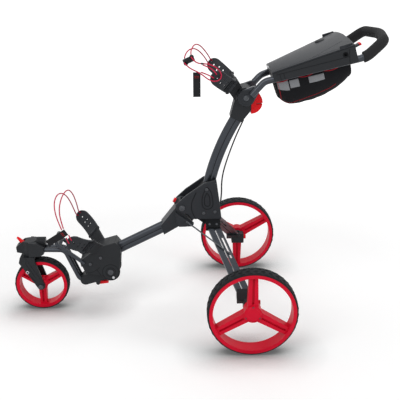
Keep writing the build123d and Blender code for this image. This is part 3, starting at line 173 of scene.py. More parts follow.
def feed(tree: bpy.types.NodeTree, node: bpy.types.Node, inputs: dict[str | int, Value]) -> None:
    """Set or wire a node's inputs.

    Args:
        tree: The tree that the node is in.
        node: The node.
        inputs: For each input, a plain value or the output that feeds it.
    """
    for place, value in inputs.items():
        if isinstance(value, bpy.types.NodeSocket):
            tree.links.new(value, node.inputs[place])
        else:
            node.inputs[place].default_value = value


def add_node(tree: bpy.types.NodeTree, kind: str, inputs: dict[str | int, Value] | None = None,
             **settings: object) -> bpy.types.Node:
    """Add a node to a tree.

    Args:
        tree: The tree.
        kind: The node's type.
        inputs: Its inputs, as for feed.
        settings: The node's own properties.

    Returns:
        The node.
    """
    node = tree.nodes.new(kind)
    for word, value in settings.items():
        setattr(node, word, value)
    feed(tree, node, inputs or {})
    return node


def maths(tree: bpy.types.NodeTree, operation: str, *terms: Value) -> bpy.types.NodeSocket:
    """Add a maths node and give its result."""
    return add_node(tree, "ShaderNodeMath", dict(enumerate(terms)), operation=operation).outputs[0]


class Paintbox:
    """Builds each finish's material once, from shared node groups, and dresses pieces with it."""

    NOISE_SWING = 0.14
    PATCH_SWING = 0.10
    WEAR_NOISE = 320.0
    EDGE_FLAT = 0.985
    EDGE_SHARP = 0.80

    def __init__(self) -> None:
        """Start with nothing mixed."""
        self._materials: dict[str, bpy.types.Material] = {}
        self._groups: dict[str, bpy.types.NodeTree] = {}

    def material(self, finish: Finish) -> bpy.types.Material:
        """Give the material of a finish.

        Args:
            finish: The finish to look up or mix.

        Returns:
            Its material, the same one each time.
        """
        if finish.name not in self._materials:
            self._materials[finish.name] = self._mix(finish)
        return self._materials[finish.name]

    def dress(self, piece: bpy.types.Object, finish: Finish) -> bpy.types.Object:
        """Put a finish on a piece.

        Args:
            piece: A mesh or curve of the scene, or a CAD node.
            finish: What it is finished in.

        Returns:
            The same piece.
        """
        chosen = self.material(finish)
        if piece.material_slots:
            for place in piece.material_slots:
                place.material = chosen
        else:
            piece.data.materials.append(chosen)
        return piece

    def _mix(self, finish: Finish) -> bpy.types.Material:
        """Mix one finish's material.

        Args:
            finish: The finish.

        Returns:
            A new material whose colour, roughness and bump all vary.
        """
        made = bpy.data.materials.new(finish.name)
        made.use_nodes = True
        tree = made.node_tree
        where = add_node(tree, "ShaderNodeTexCoord").outputs
        spread = {"Vector": where["UV" if finish.pattern is Pattern.BRAID else "Object"],
                  "Light tone": (*finish.light, 1), "Dark tone": (*finish.dark, 1),
                  "Roughness": finish.roughness, "Grains": finish.grains, "Patches": finish.patches}
        group = self._surface_group(finish.pattern)
        surface = add_node(tree, "ShaderNodeGroup", spread, node_tree=group).outputs
        colour = surface["Colour"]
        bump = add_node(tree, "ShaderNodeBump", {"Distance": finish.depth, "Height": surface["Height"]})
        if finish.wear:
            rub = {"Vector": where["Object"], "Amount": finish.wear, "Reach": finish.round_edges}
            edges = add_node(tree, "ShaderNodeGroup", rub, node_tree=self._wear_group()).outputs
            feed(tree, bump, {"Normal": edges["Normal"]})
            rubbed = {0: edges["Mask"], 6: colour, 7: (*finish.worn, 1)}
            colour = add_node(tree, "ShaderNodeMix", rubbed, data_type="RGBA").outputs[2]
        feed(tree, tree.nodes["Principled BSDF"],
             {"Base Color": colour, "Metallic": finish.metallic, "Coat Weight": finish.coat,
              "Specular IOR Level": finish.specular, "Roughness": surface["Roughness"],
              "Normal": bump.outputs["Normal"]})
        return made

    def _new_group(self, name: str, inputs: dict[str, str], outputs: dict[str, str]) -> bpy.types.NodeTree:
        """Start a shader group with named sockets.

        Args:
            name: The group's name.
            inputs: Socket names and their kinds.
            outputs: Socket names and their kinds.

        Returns:
            The group, with its two end nodes inside.
        """
        group = bpy.data.node_groups.new(name, "ShaderNodeTree")
        for word, kind in inputs.items():
            group.interface.new_socket(word, in_out="INPUT", socket_type=kind)
        for word, kind in outputs.items():
            group.interface.new_socket(word, in_out="OUTPUT", socket_type=kind)
        group.nodes.new("NodeGroupInput")
        group.nodes.new("NodeGroupOutput")
        self._groups[name] = group
        return group

    def _surface_group(self, pattern: Pattern) -> bpy.types.NodeTree:
        """Give the group that lays a pattern over a surface.

        Args:
            pattern: Which pattern.

        Returns:
            A group that puts out Colour, Roughness and Height.
        """
        if pattern.value in self._groups:
            return self._groups[pattern.value]
        group = self._new_group(
            pattern.value,
            {"Vector": "NodeSocketVector", "Light tone": "NodeSocketColor", "Dark tone": "NodeSocketColor",
             "Roughness": "NodeSocketFloat", "Grains": "NodeSocketFloat", "Patches": "NodeSocketFloat"},
            {"Colour": "NodeSocketColor", "Roughness": "NodeSocketFloat", "Height": "NodeSocketFloat"})
        start = group.nodes["Group Input"].outputs
        clouds = self._noise(group, start["Vector"], start["Patches"], 4)
        if pattern is Pattern.GRAIN:
            height = self._noise(group, start["Vector"], start["Grains"], 2)
            share = clouds
        else:
            height = self._crossing(group, start["Vector"], start["Grains"], pattern)
            share = maths(group, "MULTIPLY_ADD", height, 0.75, maths(group, "MULTIPLY", clouds, 0.25))
        mixed = {0: share, 6: start["Dark tone"], 7: start["Light tone"]}
        tones = add_node(group, "ShaderNodeMix", mixed, data_type="RGBA")
        fine = maths(group, "MULTIPLY_ADD", height, self.NOISE_SWING, -self.NOISE_SWING / 2)
        broad = maths(group, "MULTIPLY_ADD", clouds, self.PATCH_SWING, -self.PATCH_SWING / 2)
        rough = maths(group, "ADD", start["Roughness"], maths(group, "ADD", fine, broad))
        feed(group, group.nodes["Group Output"],
             {"Colour": tones.outputs[2], "Roughness": rough, "Height": height})
        return group

    @staticmethod
    def _crossing(group: bpy.types.NodeTree, vector: bpy.types.NodeSocket,
                  grains: bpy.types.NodeSocket, pattern: Pattern) -> bpy.types.NodeSocket:
        """Cross two sets of threads.

        Args:
            group: The tree to build in.
            vector: Where on the surface.
            grains: Threads per unit.
            pattern: WEAVE crosses X with Z and Y; BRAID crosses two diagonals of a cord's UV map.

        Returns:
            A height from 0 to 1.
        """
        x, y, z = add_node(group, "ShaderNodeSeparateXYZ", {0: vector}).outputs
        if pattern is Pattern.BRAID:
            along = maths(group, "MULTIPLY", x, grains)
            around = maths(group, "MULTIPLY", y, 2.0)
            counts = (maths(group, "ADD", along, around), maths(group, "SUBTRACT", along, around))
        else:
            lean = maths(group, "ADD", z, y)
            counts = (maths(group, "MULTIPLY", x, grains), maths(group, "MULTIPLY", lean, grains))
        waves = [maths(group, "SINE", maths(group, "MULTIPLY", count, FULL_TURN)) for count in counts]
        return maths(group, "MULTIPLY_ADD", maths(group, "MULTIPLY", *waves), 0.5, 0.5)

    @staticmethod
    def _noise(group: bpy.types.NodeTree, vector: Value, scale: Value, detail: float) -> bpy.types.NodeSocket:
        """Add a noise texture and give its value."""
        inputs = {"Vector": vector, "Scale": scale, "Detail": detail}
        return add_node(group, "ShaderNodeTexNoise", inputs).outputs[0]

    def _wear_group(self) -> bpy.types.NodeTree:
        """Give the group that rounds edges and marks where they rub.

        Returns:
            A group that puts out Mask and Normal.
        """
        name = "edge rub"
        if name in self._groups:
            return self._groups[name]
        group = self._new_group(
            name,
            {"Vector": "NodeSocketVector", "Amount": "NodeSocketFloat", "Reach": "NodeSocketFloat"},
            {"Mask": "NodeSocketFloat", "Normal": "NodeSocketVector"})
        start = group.nodes["Group Input"].outputs
        rounded = add_node(group, "ShaderNodeBevel", {"Radius": start["Reach"]}, samples=4).outputs[0]
        plain = add_node(group, "ShaderNodeNewGeometry").outputs["Normal"]
        turn = add_node(group, "ShaderNodeVectorMath", {0: rounded, 1: plain}, operation="DOT_PRODUCT")
        edge = add_node(group, "ShaderNodeMapRange", {
            "Value": turn.outputs["Value"], "From Min": self.EDGE_FLAT, "From Max": self.EDGE_SHARP})
        speckle = self._noise(group, start["Vector"], self.WEAR_NOISE, 3)
        patchy = maths(group, "MULTIPLY", edge.outputs[0], speckle)
        feed(group, group.nodes["Group Output"],
             {"Mask": maths(group, "MULTIPLY", patchy, start["Amount"]), "Normal": rounded})
        return group


PAINT = Paintbox()


# Shared ways of making meshes


def linked(name: str, data: bpy.types.Mesh | bpy.types.Curve) -> bpy.types.Object:
    """Make an object of a mesh or curve and put it in the scene."""
    made = bpy.data.objects.new(name, data)
    bpy.context.scene.collection.objects.link(made)
    return made


def mesh_piece(name: str, points: Iterable[Point], faces: Iterable[Sequence[int]],
               smooth: bool = True) -> bpy.types.Object:
    """Make a mesh piece from points and faces, with its faces turned outwards.

    Args:
        name: The piece's name.
        points: Its corners, in metres.
        faces: The corner numbers of each face.
        smooth: Whether it is shaded smooth.

    Returns:
        The new object, at the origin.
    """
    mesh = bpy.data.meshes.new(name)
    mesh.from_pydata([tuple(point) for point in points], [], [tuple(face) for face in faces])
    work = bmesh.new()
    work.from_mesh(mesh)
    bmesh.ops.remove_doubles(work, verts=work.verts, dist=1e-7)
    bmesh.ops.recalc_face_normals(work, faces=work.faces)
    work.to_mesh(mesh)
    work.free()
    mesh.polygons.foreach_set("use_smooth", [smooth] * len(mesh.polygons))
    return linked(name, mesh)


def strip_faces(rows: int, columns: int, wrap: bool = False) -> list[tuple[int, int, int, int]]:
    """Give the quads of a grid of points stored row by row.

    Args:
        rows: How many rows.
        columns: How many points in a row.
        wrap: Whether each row closes on itself.

    Returns:
        The quads' corner numbers.
    """
    across = columns if wrap else columns - 1
    quads = []
    for row in range(rows - 1):
        for column in range(across):
            after = (column + 1) % columns
            quads.append((row * columns + column, row * columns + after,
                          (row + 1) * columns + after, (row + 1) * columns + column))
    return quads


def lathe(profile: Sequence[tuple[float, float]], sides: int) -> tuple[list[Vector], list[tuple[int, ...]]]:
    """Turn a profile round the Y axis.

    Args:
        profile: Radius and Y of each point; a closed loop of points gives a closed ring.
        sides: Steps round the axis.

    Returns:
        The points and faces.
    """
    points = []
    for step in range(sides):
        angle = FULL_TURN * step / sides
        for radius, along in profile:
            points.append(Vector((radius * math.cos(angle), along, radius * math.sin(angle))))
    faces = strip_faces(sides, len(profile), True)
    last = (sides - 1) * len(profile)
    for column in range(len(profile)):
        after = (column + 1) % len(profile)
        faces.append((last + column, last + after, after, column))
    return points, faces


def finished(piece: bpy.types.Object) -> bpy.types.Object:
    """Apply a piece's modifiers, so that a plain mesh is left.

    Args:
        piece: The mesh or curve, with its modifiers.

    Returns:
        The piece as a plain mesh of the same name.
    """
    graph = bpy.context.evaluated_depsgraph_get()
    mesh = bpy.data.meshes.new_from_object(piece.evaluated_get(graph))
    name = piece.name
    mesh.name = name
    if piece.type == "MESH":
        piece.modifiers.clear()
        piece.data = mesh
        return piece
    bpy.data.objects.remove(piece)
    return linked(name, mesh)


def block(name: str, size: Point, bevel: float, segments: int = 3,
          place: Matrix | None = None) -> bpy.types.Object:
    """Make a block with rounded edges.

    Args:
        name: The piece's name.
        size: Its three lengths in millimetres.
        bevel: The radius of its edges in millimetres.
        segments: Steps round each edge.
        place: Its placement, if it isn't the origin.

    Returns:
        A plain mesh.
    """
    work = bmesh.new()
    lengths = [length * MM for length in size]
    bmesh.ops.create_cube(work, size=1.0, matrix=Matrix.Diagonal((*lengths, 1)))
    bmesh.ops.bevel(work, geom=list(work.edges), offset=bevel * MM, segments=segments, profile=0.5,
                    affect="EDGES")
    bmesh.ops.transform(work, matrix=place or Matrix.Identity(4), verts=work.verts)
    mesh = bpy.data.meshes.new(name)
    work.to_mesh(mesh)
    work.free()
    made = smoothed(linked(name, mesh))
    weigh_normals(made)
    return finished(made)


def weigh_normals(piece: bpy.types.Object) -> None:
    """Let large faces decide a piece's shading, so that flats stay flat beside rounded edges."""
    weighted = piece.modifiers.new("weighted", "WEIGHTED_NORMAL")
    weighted.mode = "FACE_AREA"
    weighted.keep_sharp = False


def pipe(name: str, points: Sequence[Point], radius: float, sides: int = 4) -> bpy.types.Object:
    """Make a round bead along a smooth line through control points.

    Args:
        name: The piece's name.
        points: The line's control points.
        radius: The bead's radius.
        sides: Bevel resolution.

    Returns:
        A plain mesh.
    """
    return finished(nurbs_line(name, points, radius, sides))


def nurbs_line(name: str, points: Sequence[Point], radius: float, sides: int = 4) -> bpy.types.Object:
    """Make a smooth round curve from control points, which it starts and ends on.

    Args:
        name: The curve's name.
        points: Its control points in metres.
        radius: Its radius.
        sides: Bevel resolution.

    Returns:
        The curve object.
    """
    data = bpy.data.curves.new(name, "CURVE")
    data.dimensions = "3D"
    data.bevel_depth = radius
    data.bevel_resolution = sides
    data.use_fill_caps = True
    data.resolution_u = LINE_STEPS
    line = data.splines.new("NURBS")
    line.points.add(len(points) - 1)
    for place, point in zip(line.points, points):
        place.co = (*point, 1)
    line.order_u = LINE_ORDER
    line.use_endpoint_u = True
    return linked(name, data)


def course(points: Sequence[Point]) -> list[Vector]:
    """Give the points along a smooth line, from its start to its end.

    Args:
        points: The line's control points in metres.

    Returns:
        The points of the line's middle.
    """
    bare = finished(nurbs_line("course", points, 0.0))
    run = [vertex.co.copy() for vertex in bare.data.vertices]
    bpy.data.objects.remove(bare)
    return run


def joined(name: str, pieces: Sequence[bpy.types.Object]) -> bpy.types.Object:
    """Join plain mesh pieces into one.

    Args:
        name: The new piece's name.
        pieces: Mesh objects at the origin, which are used up.

    Returns:
        One object that holds them all.
    """
    work = bmesh.new()
    for piece in pieces:
        work.from_mesh(piece.data)
    mesh = bpy.data.meshes.new(name)
    work.to_mesh(mesh)
    work.free()
    for piece in pieces:
        bpy.data.objects.remove(piece)
    return linked(name, mesh)


def placed(piece: bpy.types.Object, matrix: Matrix) -> bpy.types.Object:
    """Move a piece's mesh, with the object left at the origin."""
    piece.data.transform(matrix)
    piece.data.update()
    return piece


def metres(points: Iterable[Point]) -> list[Vector]:
    """Turn points in millimetres into vectors in metres."""
    return [Vector(point) * MM for point in points]


def shifted(at: Point) -> Matrix:
    """Give the placement at a point in millimetres."""
    return Matrix.Translation(Vector(at) * MM)


def axes(x: Vector, y: Vector, z: Vector) -> Matrix:
    """Give the turn that leads the three axes to three directions."""
    return Matrix((x, y, z)).transposed().to_4x4()


def thickened(piece: bpy.types.Object, wall: float) -> bpy.types.Object:
    """Give a sheet a wall in millimetres, half of it to each side."""
    thick = piece.modifiers.new("wall", "SOLIDIFY")
    thick.thickness = wall * MM
    thick.offset = 0
    return piece


def smoothed(piece: bpy.types.Object) -> bpy.types.Object:
    """Shade a mesh piece smooth all over."""
    piece.data.polygons.foreach_set("use_smooth", [True] * len(piece.data.polygons))
    return piece


def remoulded(name: str, node: bpy.types.Object, voxel: float, passes: int, keep: float) -> bpy.types.Object:
    """Copy a CAD node and remesh the copy, so that its edges come out rounded.

    Args:
        name: The copy's name.
        node: The CAD node.
        voxel: The size of the remeshing steps in millimetres.
        passes: How often the remeshed surface is relaxed.
        keep: The share of its faces that is kept.

    Returns:
        The copy, with its modifiers still live.
    """
    mesh = node.data.copy()
    work = bmesh.new()
    work.from_mesh(mesh)
    bmesh.ops.remove_doubles(work, verts=work.verts, dist=WELD)
    work.to_mesh(mesh)
    work.free()
    mesh.materials.clear()
    piece = linked(name, mesh)
    shell = piece.modifiers.new("even", "REMESH")
    shell.mode = "VOXEL"
    shell.voxel_size = voxel * MM
    relax = piece.modifiers.new("relax", "SMOOTH")
    relax.factor = 0.5
    relax.iterations = passes
    thin = piece.modifiers.new("thin", "DECIMATE")
    thin.ratio = keep
    return piece


def fitted(piece: bpy.types.Object, finish: Finish, body: str, *stands_for: str) -> bpy.types.Object:
    """Finish a piece and let it ride on a body.

    Args:
        piece: The piece, in its place.
        finish: Its finish.
        body: The body that it rides on.
        stands_for: The CAD nodes that it replaces, if any.

    Returns:
        The same piece.
    """
    PAINT.dress(piece, finish)
    if stands_for:
        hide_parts(*stands_for)
    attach(piece, body)
    return piece


def turned(name: str, profile: Sequence[tuple[float, float]], sides: int, place: Matrix) -> bpy.types.Object:
    """Turn a solid piece on a lathe and put it in its place.

    Args:
        name: The piece's name.
        profile: Radius and Y of each point, in millimetres.
        sides: Steps round the axis.
        place: Its placement, whose Y is the axis.

    Returns:
        A plain mesh.
    """
    points, faces = lathe([(radius * MM, along * MM) for radius, along in profile], sides)
    made = mesh_piece(name, points, faces)
    weigh_normals(made)
    return placed(finished(made), place)


class Skin:
    """Finds the outer faces of a CAD node, so that trim can be laid on them."""

    STEP = 2.5
    OUTSIDE = 90.0
    FEWEST = 4

    def __init__(self, node: bpy.types.Object) -> None:
        """Read the node's faces.

        Args:
            node: The CAD node's object, at the origin.
        """
        mesh = node.data
        corners = [corner.co.copy() for corner in mesh.vertices]
        self._tree = BVHTree.FromPolygons(corners, [tuple(face.vertices) for face in mesh.polygons])

    def touch(self, start: Vector, way: Vector) -> Vector | None:
        """Give the first place that a ray meets, in metres, or nothing."""
        return self._tree.ray_cast(start, way)[0]

    def side_runs(self, line: Sequence[tuple[float, float]], side: Side, face: float,
                  sink: float) -> list[list[Vector]]:
        """Lay a line of X and Z places on a side face.

        Args:
            line: The line's corners in millimetres.
            side: Which side of the cart.
            face: How far out the face must be, in millimetres, for a place to count.
            sink: How deep the line lies in the face.

        Returns:
            The stretches that lie on the face, in metres.
        """
        runs: list[list[Vector]] = [[]]
        for (x0, z0), (x1, z1) in zip(line, line[1:]):
            count = max(1, round(math.hypot(x1 - x0, z1 - z0) / self.STEP))
            for step in range(count):
                share = step / count
                across = side.value * self.OUTSIDE
                start = Vector((x0 + (x1 - x0) * share, across, z0 + (z1 - z0) * share)) * MM
                spot = self.touch(start, Vector((0, -side.value, 0)))
                if spot is None or abs(spot.y) < face * MM:
                    runs.append([])
                else:
                    runs[-1].append(spot - Vector((0, side.value * sink * MM, 0)))
        return [run for run in runs if len(run) >= self.FEWEST]


def creases(name: str, body: str, runs: Sequence[Sequence[Point]], radius: float, finish: Finish,
            sides: int = 2) -> None:
    """Lay thin lines on a body, such as the seams between mouldings.

    Args:
        name: The piece's name.
        body: The body that it rides on.
        runs: The control points of each line, in metres.
        radius: The lines' radius in millimetres.
        finish: Their finish.
        sides: Bevel resolution.
    """
    if not runs:
        LOG.warning("no face found for %s", name)
        return
    lines = [pipe("crease", run, radius * MM, sides) for run in runs]
    fitted(smoothed(joined(name, lines)), finish, body)


# Geometry Nodes trees for what repeats


class Repeater:
    """Builds the Geometry Nodes trees that repeat a small piece, and bakes them to plain meshes."""

    def __init__(self) -> None:
        """Build each tree once."""
        self._ring = self._ring_tree()
        self._row = self._row_tree()
        self._spots = self._spots_tree()

    @staticmethod
    def _start(name: str, sizes: dict[str, str]) -> tuple[bpy.types.NodeTree, bpy.types.Node, bpy.types.Node]:
        """Start a tree with a piece, a finish and its own sizes as inputs.

        Args:
            name: The tree's name.
            sizes: The names and kinds of its own inputs.

        Returns:
            The tree, its input node and the node that makes the copies.
        """
        tree = bpy.data.node_groups.new(name, "GeometryNodeTree")
        kinds = {"Geometry": "NodeSocketGeometry", "Piece": "NodeSocketObject",
                 "Finish": "NodeSocketMaterial", **sizes}
        for word, kind in kinds.items():
            tree.interface.new_socket(word, in_out="INPUT", socket_type=kind)
        tree.interface.new_socket("Geometry", in_out="OUTPUT", socket_type="NodeSocketGeometry")
        start = add_node(tree, "NodeGroupInput")
        info = add_node(tree, "GeometryNodeObjectInfo", {"Object": start.outputs["Piece"]})
        copies = add_node(tree, "GeometryNodeInstanceOnPoints", {"Instance": info.outputs["Geometry"]})
        real = add_node(tree, "GeometryNodeRealizeInstances", {"Geometry": copies.outputs["Instances"]})
        coated = {"Geometry": real.outputs["Geometry"], "Material": start.outputs["Finish"]}
        coat = add_node(tree, "GeometryNodeSetMaterial", coated)
        add_node(tree, "NodeGroupOutput", {0: coat.outputs["Geometry"]})
        return tree, start, copies

    def _ring_tree(self) -> bpy.types.NodeTree:
        """Build the tree that turns each copy a step further about the Y axis.

        Returns:
            The tree.
        """
        tree, start, copies = self._start("ring of pieces", {"Count": "NodeSocketInt"})
        count = start.outputs["Count"]
        line = add_node(tree, "GeometryNodeMeshLine", {"Count": count, "Offset": (0, 0, 0)})
        share = maths(tree, "DIVIDE", add_node(tree, "GeometryNodeInputIndex").outputs[0], count)
        euler = add_node(tree, "ShaderNodeCombineXYZ", {"Y": maths(tree, "MULTIPLY", share, FULL_TURN)})
        turn = add_node(tree, "FunctionNodeEulerToRotation", {0: euler.outputs[0]})
        feed(tree, copies, {"Points": line.outputs["Mesh"], "Rotation": turn.outputs[0]})
        return tree

    def _row_tree(self) -> bpy.types.NodeTree:
        """Build the tree that puts each copy a step further along a line.

        Returns:
            The tree.
        """
        sizes = {"Count": "NodeSocketInt", "Step": "NodeSocketVector"}
        tree, start, copies = self._start("row of pieces", sizes)
        spaced = {"Count": start.outputs["Count"], "Offset": start.outputs["Step"]}
        line = add_node(tree, "GeometryNodeMeshLine", spaced)
        feed(tree, copies, {"Points": line.outputs["Mesh"]})
        return tree

    def _spots_tree(self) -> bpy.types.NodeTree:
        """Build the tree that puts a copy on each point of the host, with its Z along the point's facing.

        Returns:
            The tree.
        """
        tree, start, copies = self._start("pieces on spots", {})
        facing = add_node(tree, "GeometryNodeInputNamedAttribute", {"Name": "facing"},
                          data_type="FLOAT_VECTOR")
        turn = add_node(tree, "FunctionNodeAlignRotationToVector", {"Vector": facing.outputs[0]}, axis="Z")
        feed(tree, copies, {"Points": start.outputs["Geometry"], "Rotation": turn.outputs[0]})
        return tree

    @staticmethod
    def _bake(name: str, host: bpy.types.Mesh, tree: bpy.types.NodeTree, piece: bpy.types.Object,
              finish: Finish, sizes: dict[str, object]) -> bpy.types.Object:
        """Run a tree on a host mesh and keep the result as a plain mesh.

        Args:
            name: The result's name.
            host: The mesh that the tree starts from.
            tree: The tree.
            piece: What is repeated; it is used up.
            finish: The result's finish.
            sizes: The tree's own inputs.

        Returns:
            The repeated pieces as one plain mesh object.
        """
        made = linked(name, host)
        nodes = made.modifiers.new("repeat", "NODES")
        nodes.node_group = tree
        values = {"Piece": piece, "Finish": PAINT.material(finish), **sizes}
        for socket in tree.interface.items_tree:
            if socket.in_out == "INPUT" and socket.name in values:
                nodes[socket.identifier] = values[socket.name]
        finished(made)
        bpy.data.objects.remove(piece)
        return made

    def ring(self, name: str, piece: bpy.types.Object, count: int, finish: Finish) -> bpy.types.Object:
        """Repeat a piece in equal turns about the Y axis."""
        return self._bake(name, bpy.data.meshes.new(name), self._ring, piece, finish, {"Count": count})

    def row(self, name: str, piece: bpy.types.Object, count: int, step: Point,
            finish: Finish) -> bpy.types.Object:
        """Repeat a piece along a straight line of equal steps."""
        sizes = {"Count": count, "Step": tuple(step)}
        return self._bake(name, bpy.data.meshes.new(name), self._row, piece, finish, sizes)

    def spots(self, name: str, piece: bpy.types.Object, places: Sequence[tuple[Point, Point]],
              finish: Finish) -> bpy.types.Object:
        """Put a piece on each place, with its Z along the place's facing.

        Args:
            name: The result's name.
            piece: What is repeated.
            places: A point and the way it faces, for each copy.
            finish: The result's finish.

        Returns:
            All the copies as one plain mesh object.
        """
        host = bpy.data.meshes.new(name)
        host.from_pydata([tuple(point) for point, _ in places], [], [])
        facing = host.attributes.new("facing", "FLOAT_VECTOR", "POINT")
        facing.data.foreach_set("vector", [number for _, way in places for number in way])
        return self._bake(name, host, self._spots, piece, finish, {})


@dataclass
class Stage:
    """Camera, soft studio light, and a plain pale floor with painted contact shade."""

    camera_at: Point = (-0.030, -2.309, 1.251)
    camera_pitch: float = 69.87
    camera_yaw: float = -1.58
    lens: float = 64.0
    sensor: float = 36.0
    floor_half: float = 40.0
    floor_tone: float = 0.97
    shade_tone: float = 0.10
    shade_reach: float = 0.15
    shade_depth: float = 0.45
    shade_samples: int = 12
    near_glow: float = 0.10
    far_glow: float = 0.65
    glow_from: float = 0.9
    glow_to: float = 3.4
    sky: float = 0.50

    LAMPS = (("key_lamp", (-1.6, -2.2, 3.0), (0.0, 0.0, 0.5), 2.2, 46),
             ("top_lamp", (0.5, 0.9, 3.2), (0.1, 0.0, 0.5), 2.4, 30),
             ("side_lamp", (2.9, -1.4, 1.6), (0.2, 0.0, 0.6), 1.6, 20))

    def build(self) -> None:
        """Set up the whole stage."""
        scene = bpy.context.scene
        scene.view_settings.view_transform = "Standard"
        data = bpy.data.cameras.new("camera")
        data.lens = self.lens
        data.sensor_width = self.sensor
        camera = bpy.data.objects.new("camera", data)
        camera.location = self.camera_at
        camera.rotation_euler = (math.radians(self.camera_pitch), 0, math.radians(self.camera_yaw))
        scene.collection.objects.link(camera)
        scene.camera = camera
        self._floor()
        self._sky()
        for lamp in self.LAMPS:
            self._lamp(*lamp)

    @staticmethod
    def _lamp(name: str, at: Point, aim: Point, size: float, power: float) -> None:
        """Add a square soft lamp.

        Args:
            name: The lamp's name.
            at: Where it stands.
            aim: What it points at.
            size: Its side.
            power: Its power in watts.
        """
        data = bpy.data.lights.new(name, "AREA")
        data.size = size
        data.energy = power
        lamp = bpy.data.objects.new(name, data)
        lamp.location = at
        lamp.rotation_euler = (Vector(aim) - Vector(at)).to_track_quat("-Z", "Y").to_euler()
        bpy.context.scene.collection.objects.link(lamp)

    @staticmethod
    def _seen(tree: bpy.types.NodeTree) -> bpy.types.NodeSocket:
        """Tell the rays that show the background: from the camera, a mirror or glass.

        Args:
            tree: The tree to build in.

        Returns:
            1 for such a ray and 0 for another.
        """
        rays = add_node(tree, "ShaderNodeLightPath").outputs
        other = maths(tree, "MAXIMUM", rays["Is Glossy Ray"], rays["Is Transmission Ray"])
        return maths(tree, "MAXIMUM", rays["Is Camera Ray"], other)

    def _floor(self) -> None:
        """Lay the floor, which takes the lamps' shadows, has contact shade painted into its colour by ambient
        occlusion near the cart, and is otherwise near white.
        """
        half = self.floor_half
        corners = [(-half, -half, 0), (half, -half, 0), (half, half, 0), (-half, half, 0)]
        floor = mesh_piece("floor", corners, [(0, 1, 2, 3)], False)
        paint = bpy.data.materials.new("pale_floor")
        paint.use_nodes = True
        tree = paint.node_tree
        # Painted contact shade: ambient occlusion darkens the floor's own colour near the cart and under the
        # wheels.
        covered = add_node(tree, "ShaderNodeAmbientOcclusion", {"Distance": self.shade_reach},
                           samples=self.shade_samples)
        shade = add_node(tree, "ShaderNodeMapRange", {
            "Value": covered.outputs["AO"], "From Min": self.shade_depth,
            "To Min": self.shade_tone, "To Max": self.floor_tone})
        where = add_node(tree, "ShaderNodeTexCoord").outputs["Object"]
        away = add_node(tree, "ShaderNodeVectorMath", {0: where}, operation="LENGTH")
        fade = add_node(tree, "ShaderNodeMapRange", {
            "Value": away.outputs["Value"], "From Min": self.glow_from, "From Max": self.glow_to,
            "To Min": self.near_glow, "To Max": self.far_glow})
        glow = maths(tree, "MULTIPLY", self._seen(tree), fade.outputs[0])
        feed(tree, tree.nodes["Principled BSDF"],
             {"Base Color": shade.outputs[0], "Roughness": 1.0, "Specular IOR Level": 0.0,
              "Emission Color": (1, 1, 1, 1), "Emission Strength": glow})
        floor.data.materials.append(paint)

    def _sky(self) -> None:
        """White where it is seen, and a plain soft light elsewhere."""
        world = bpy.data.worlds.new("studio")
        world.use_nodes = True
        bpy.context.scene.world = world
        tree = world.node_tree
        strength = add_node(tree, "ShaderNodeMapRange", {
            "Value": self._seen(tree), "To Min": self.sky, "To Max": 1.0})
        feed(tree, tree.nodes["Background"], {"Color": (1, 1, 1, 1), "Strength": strength.outputs[0]})


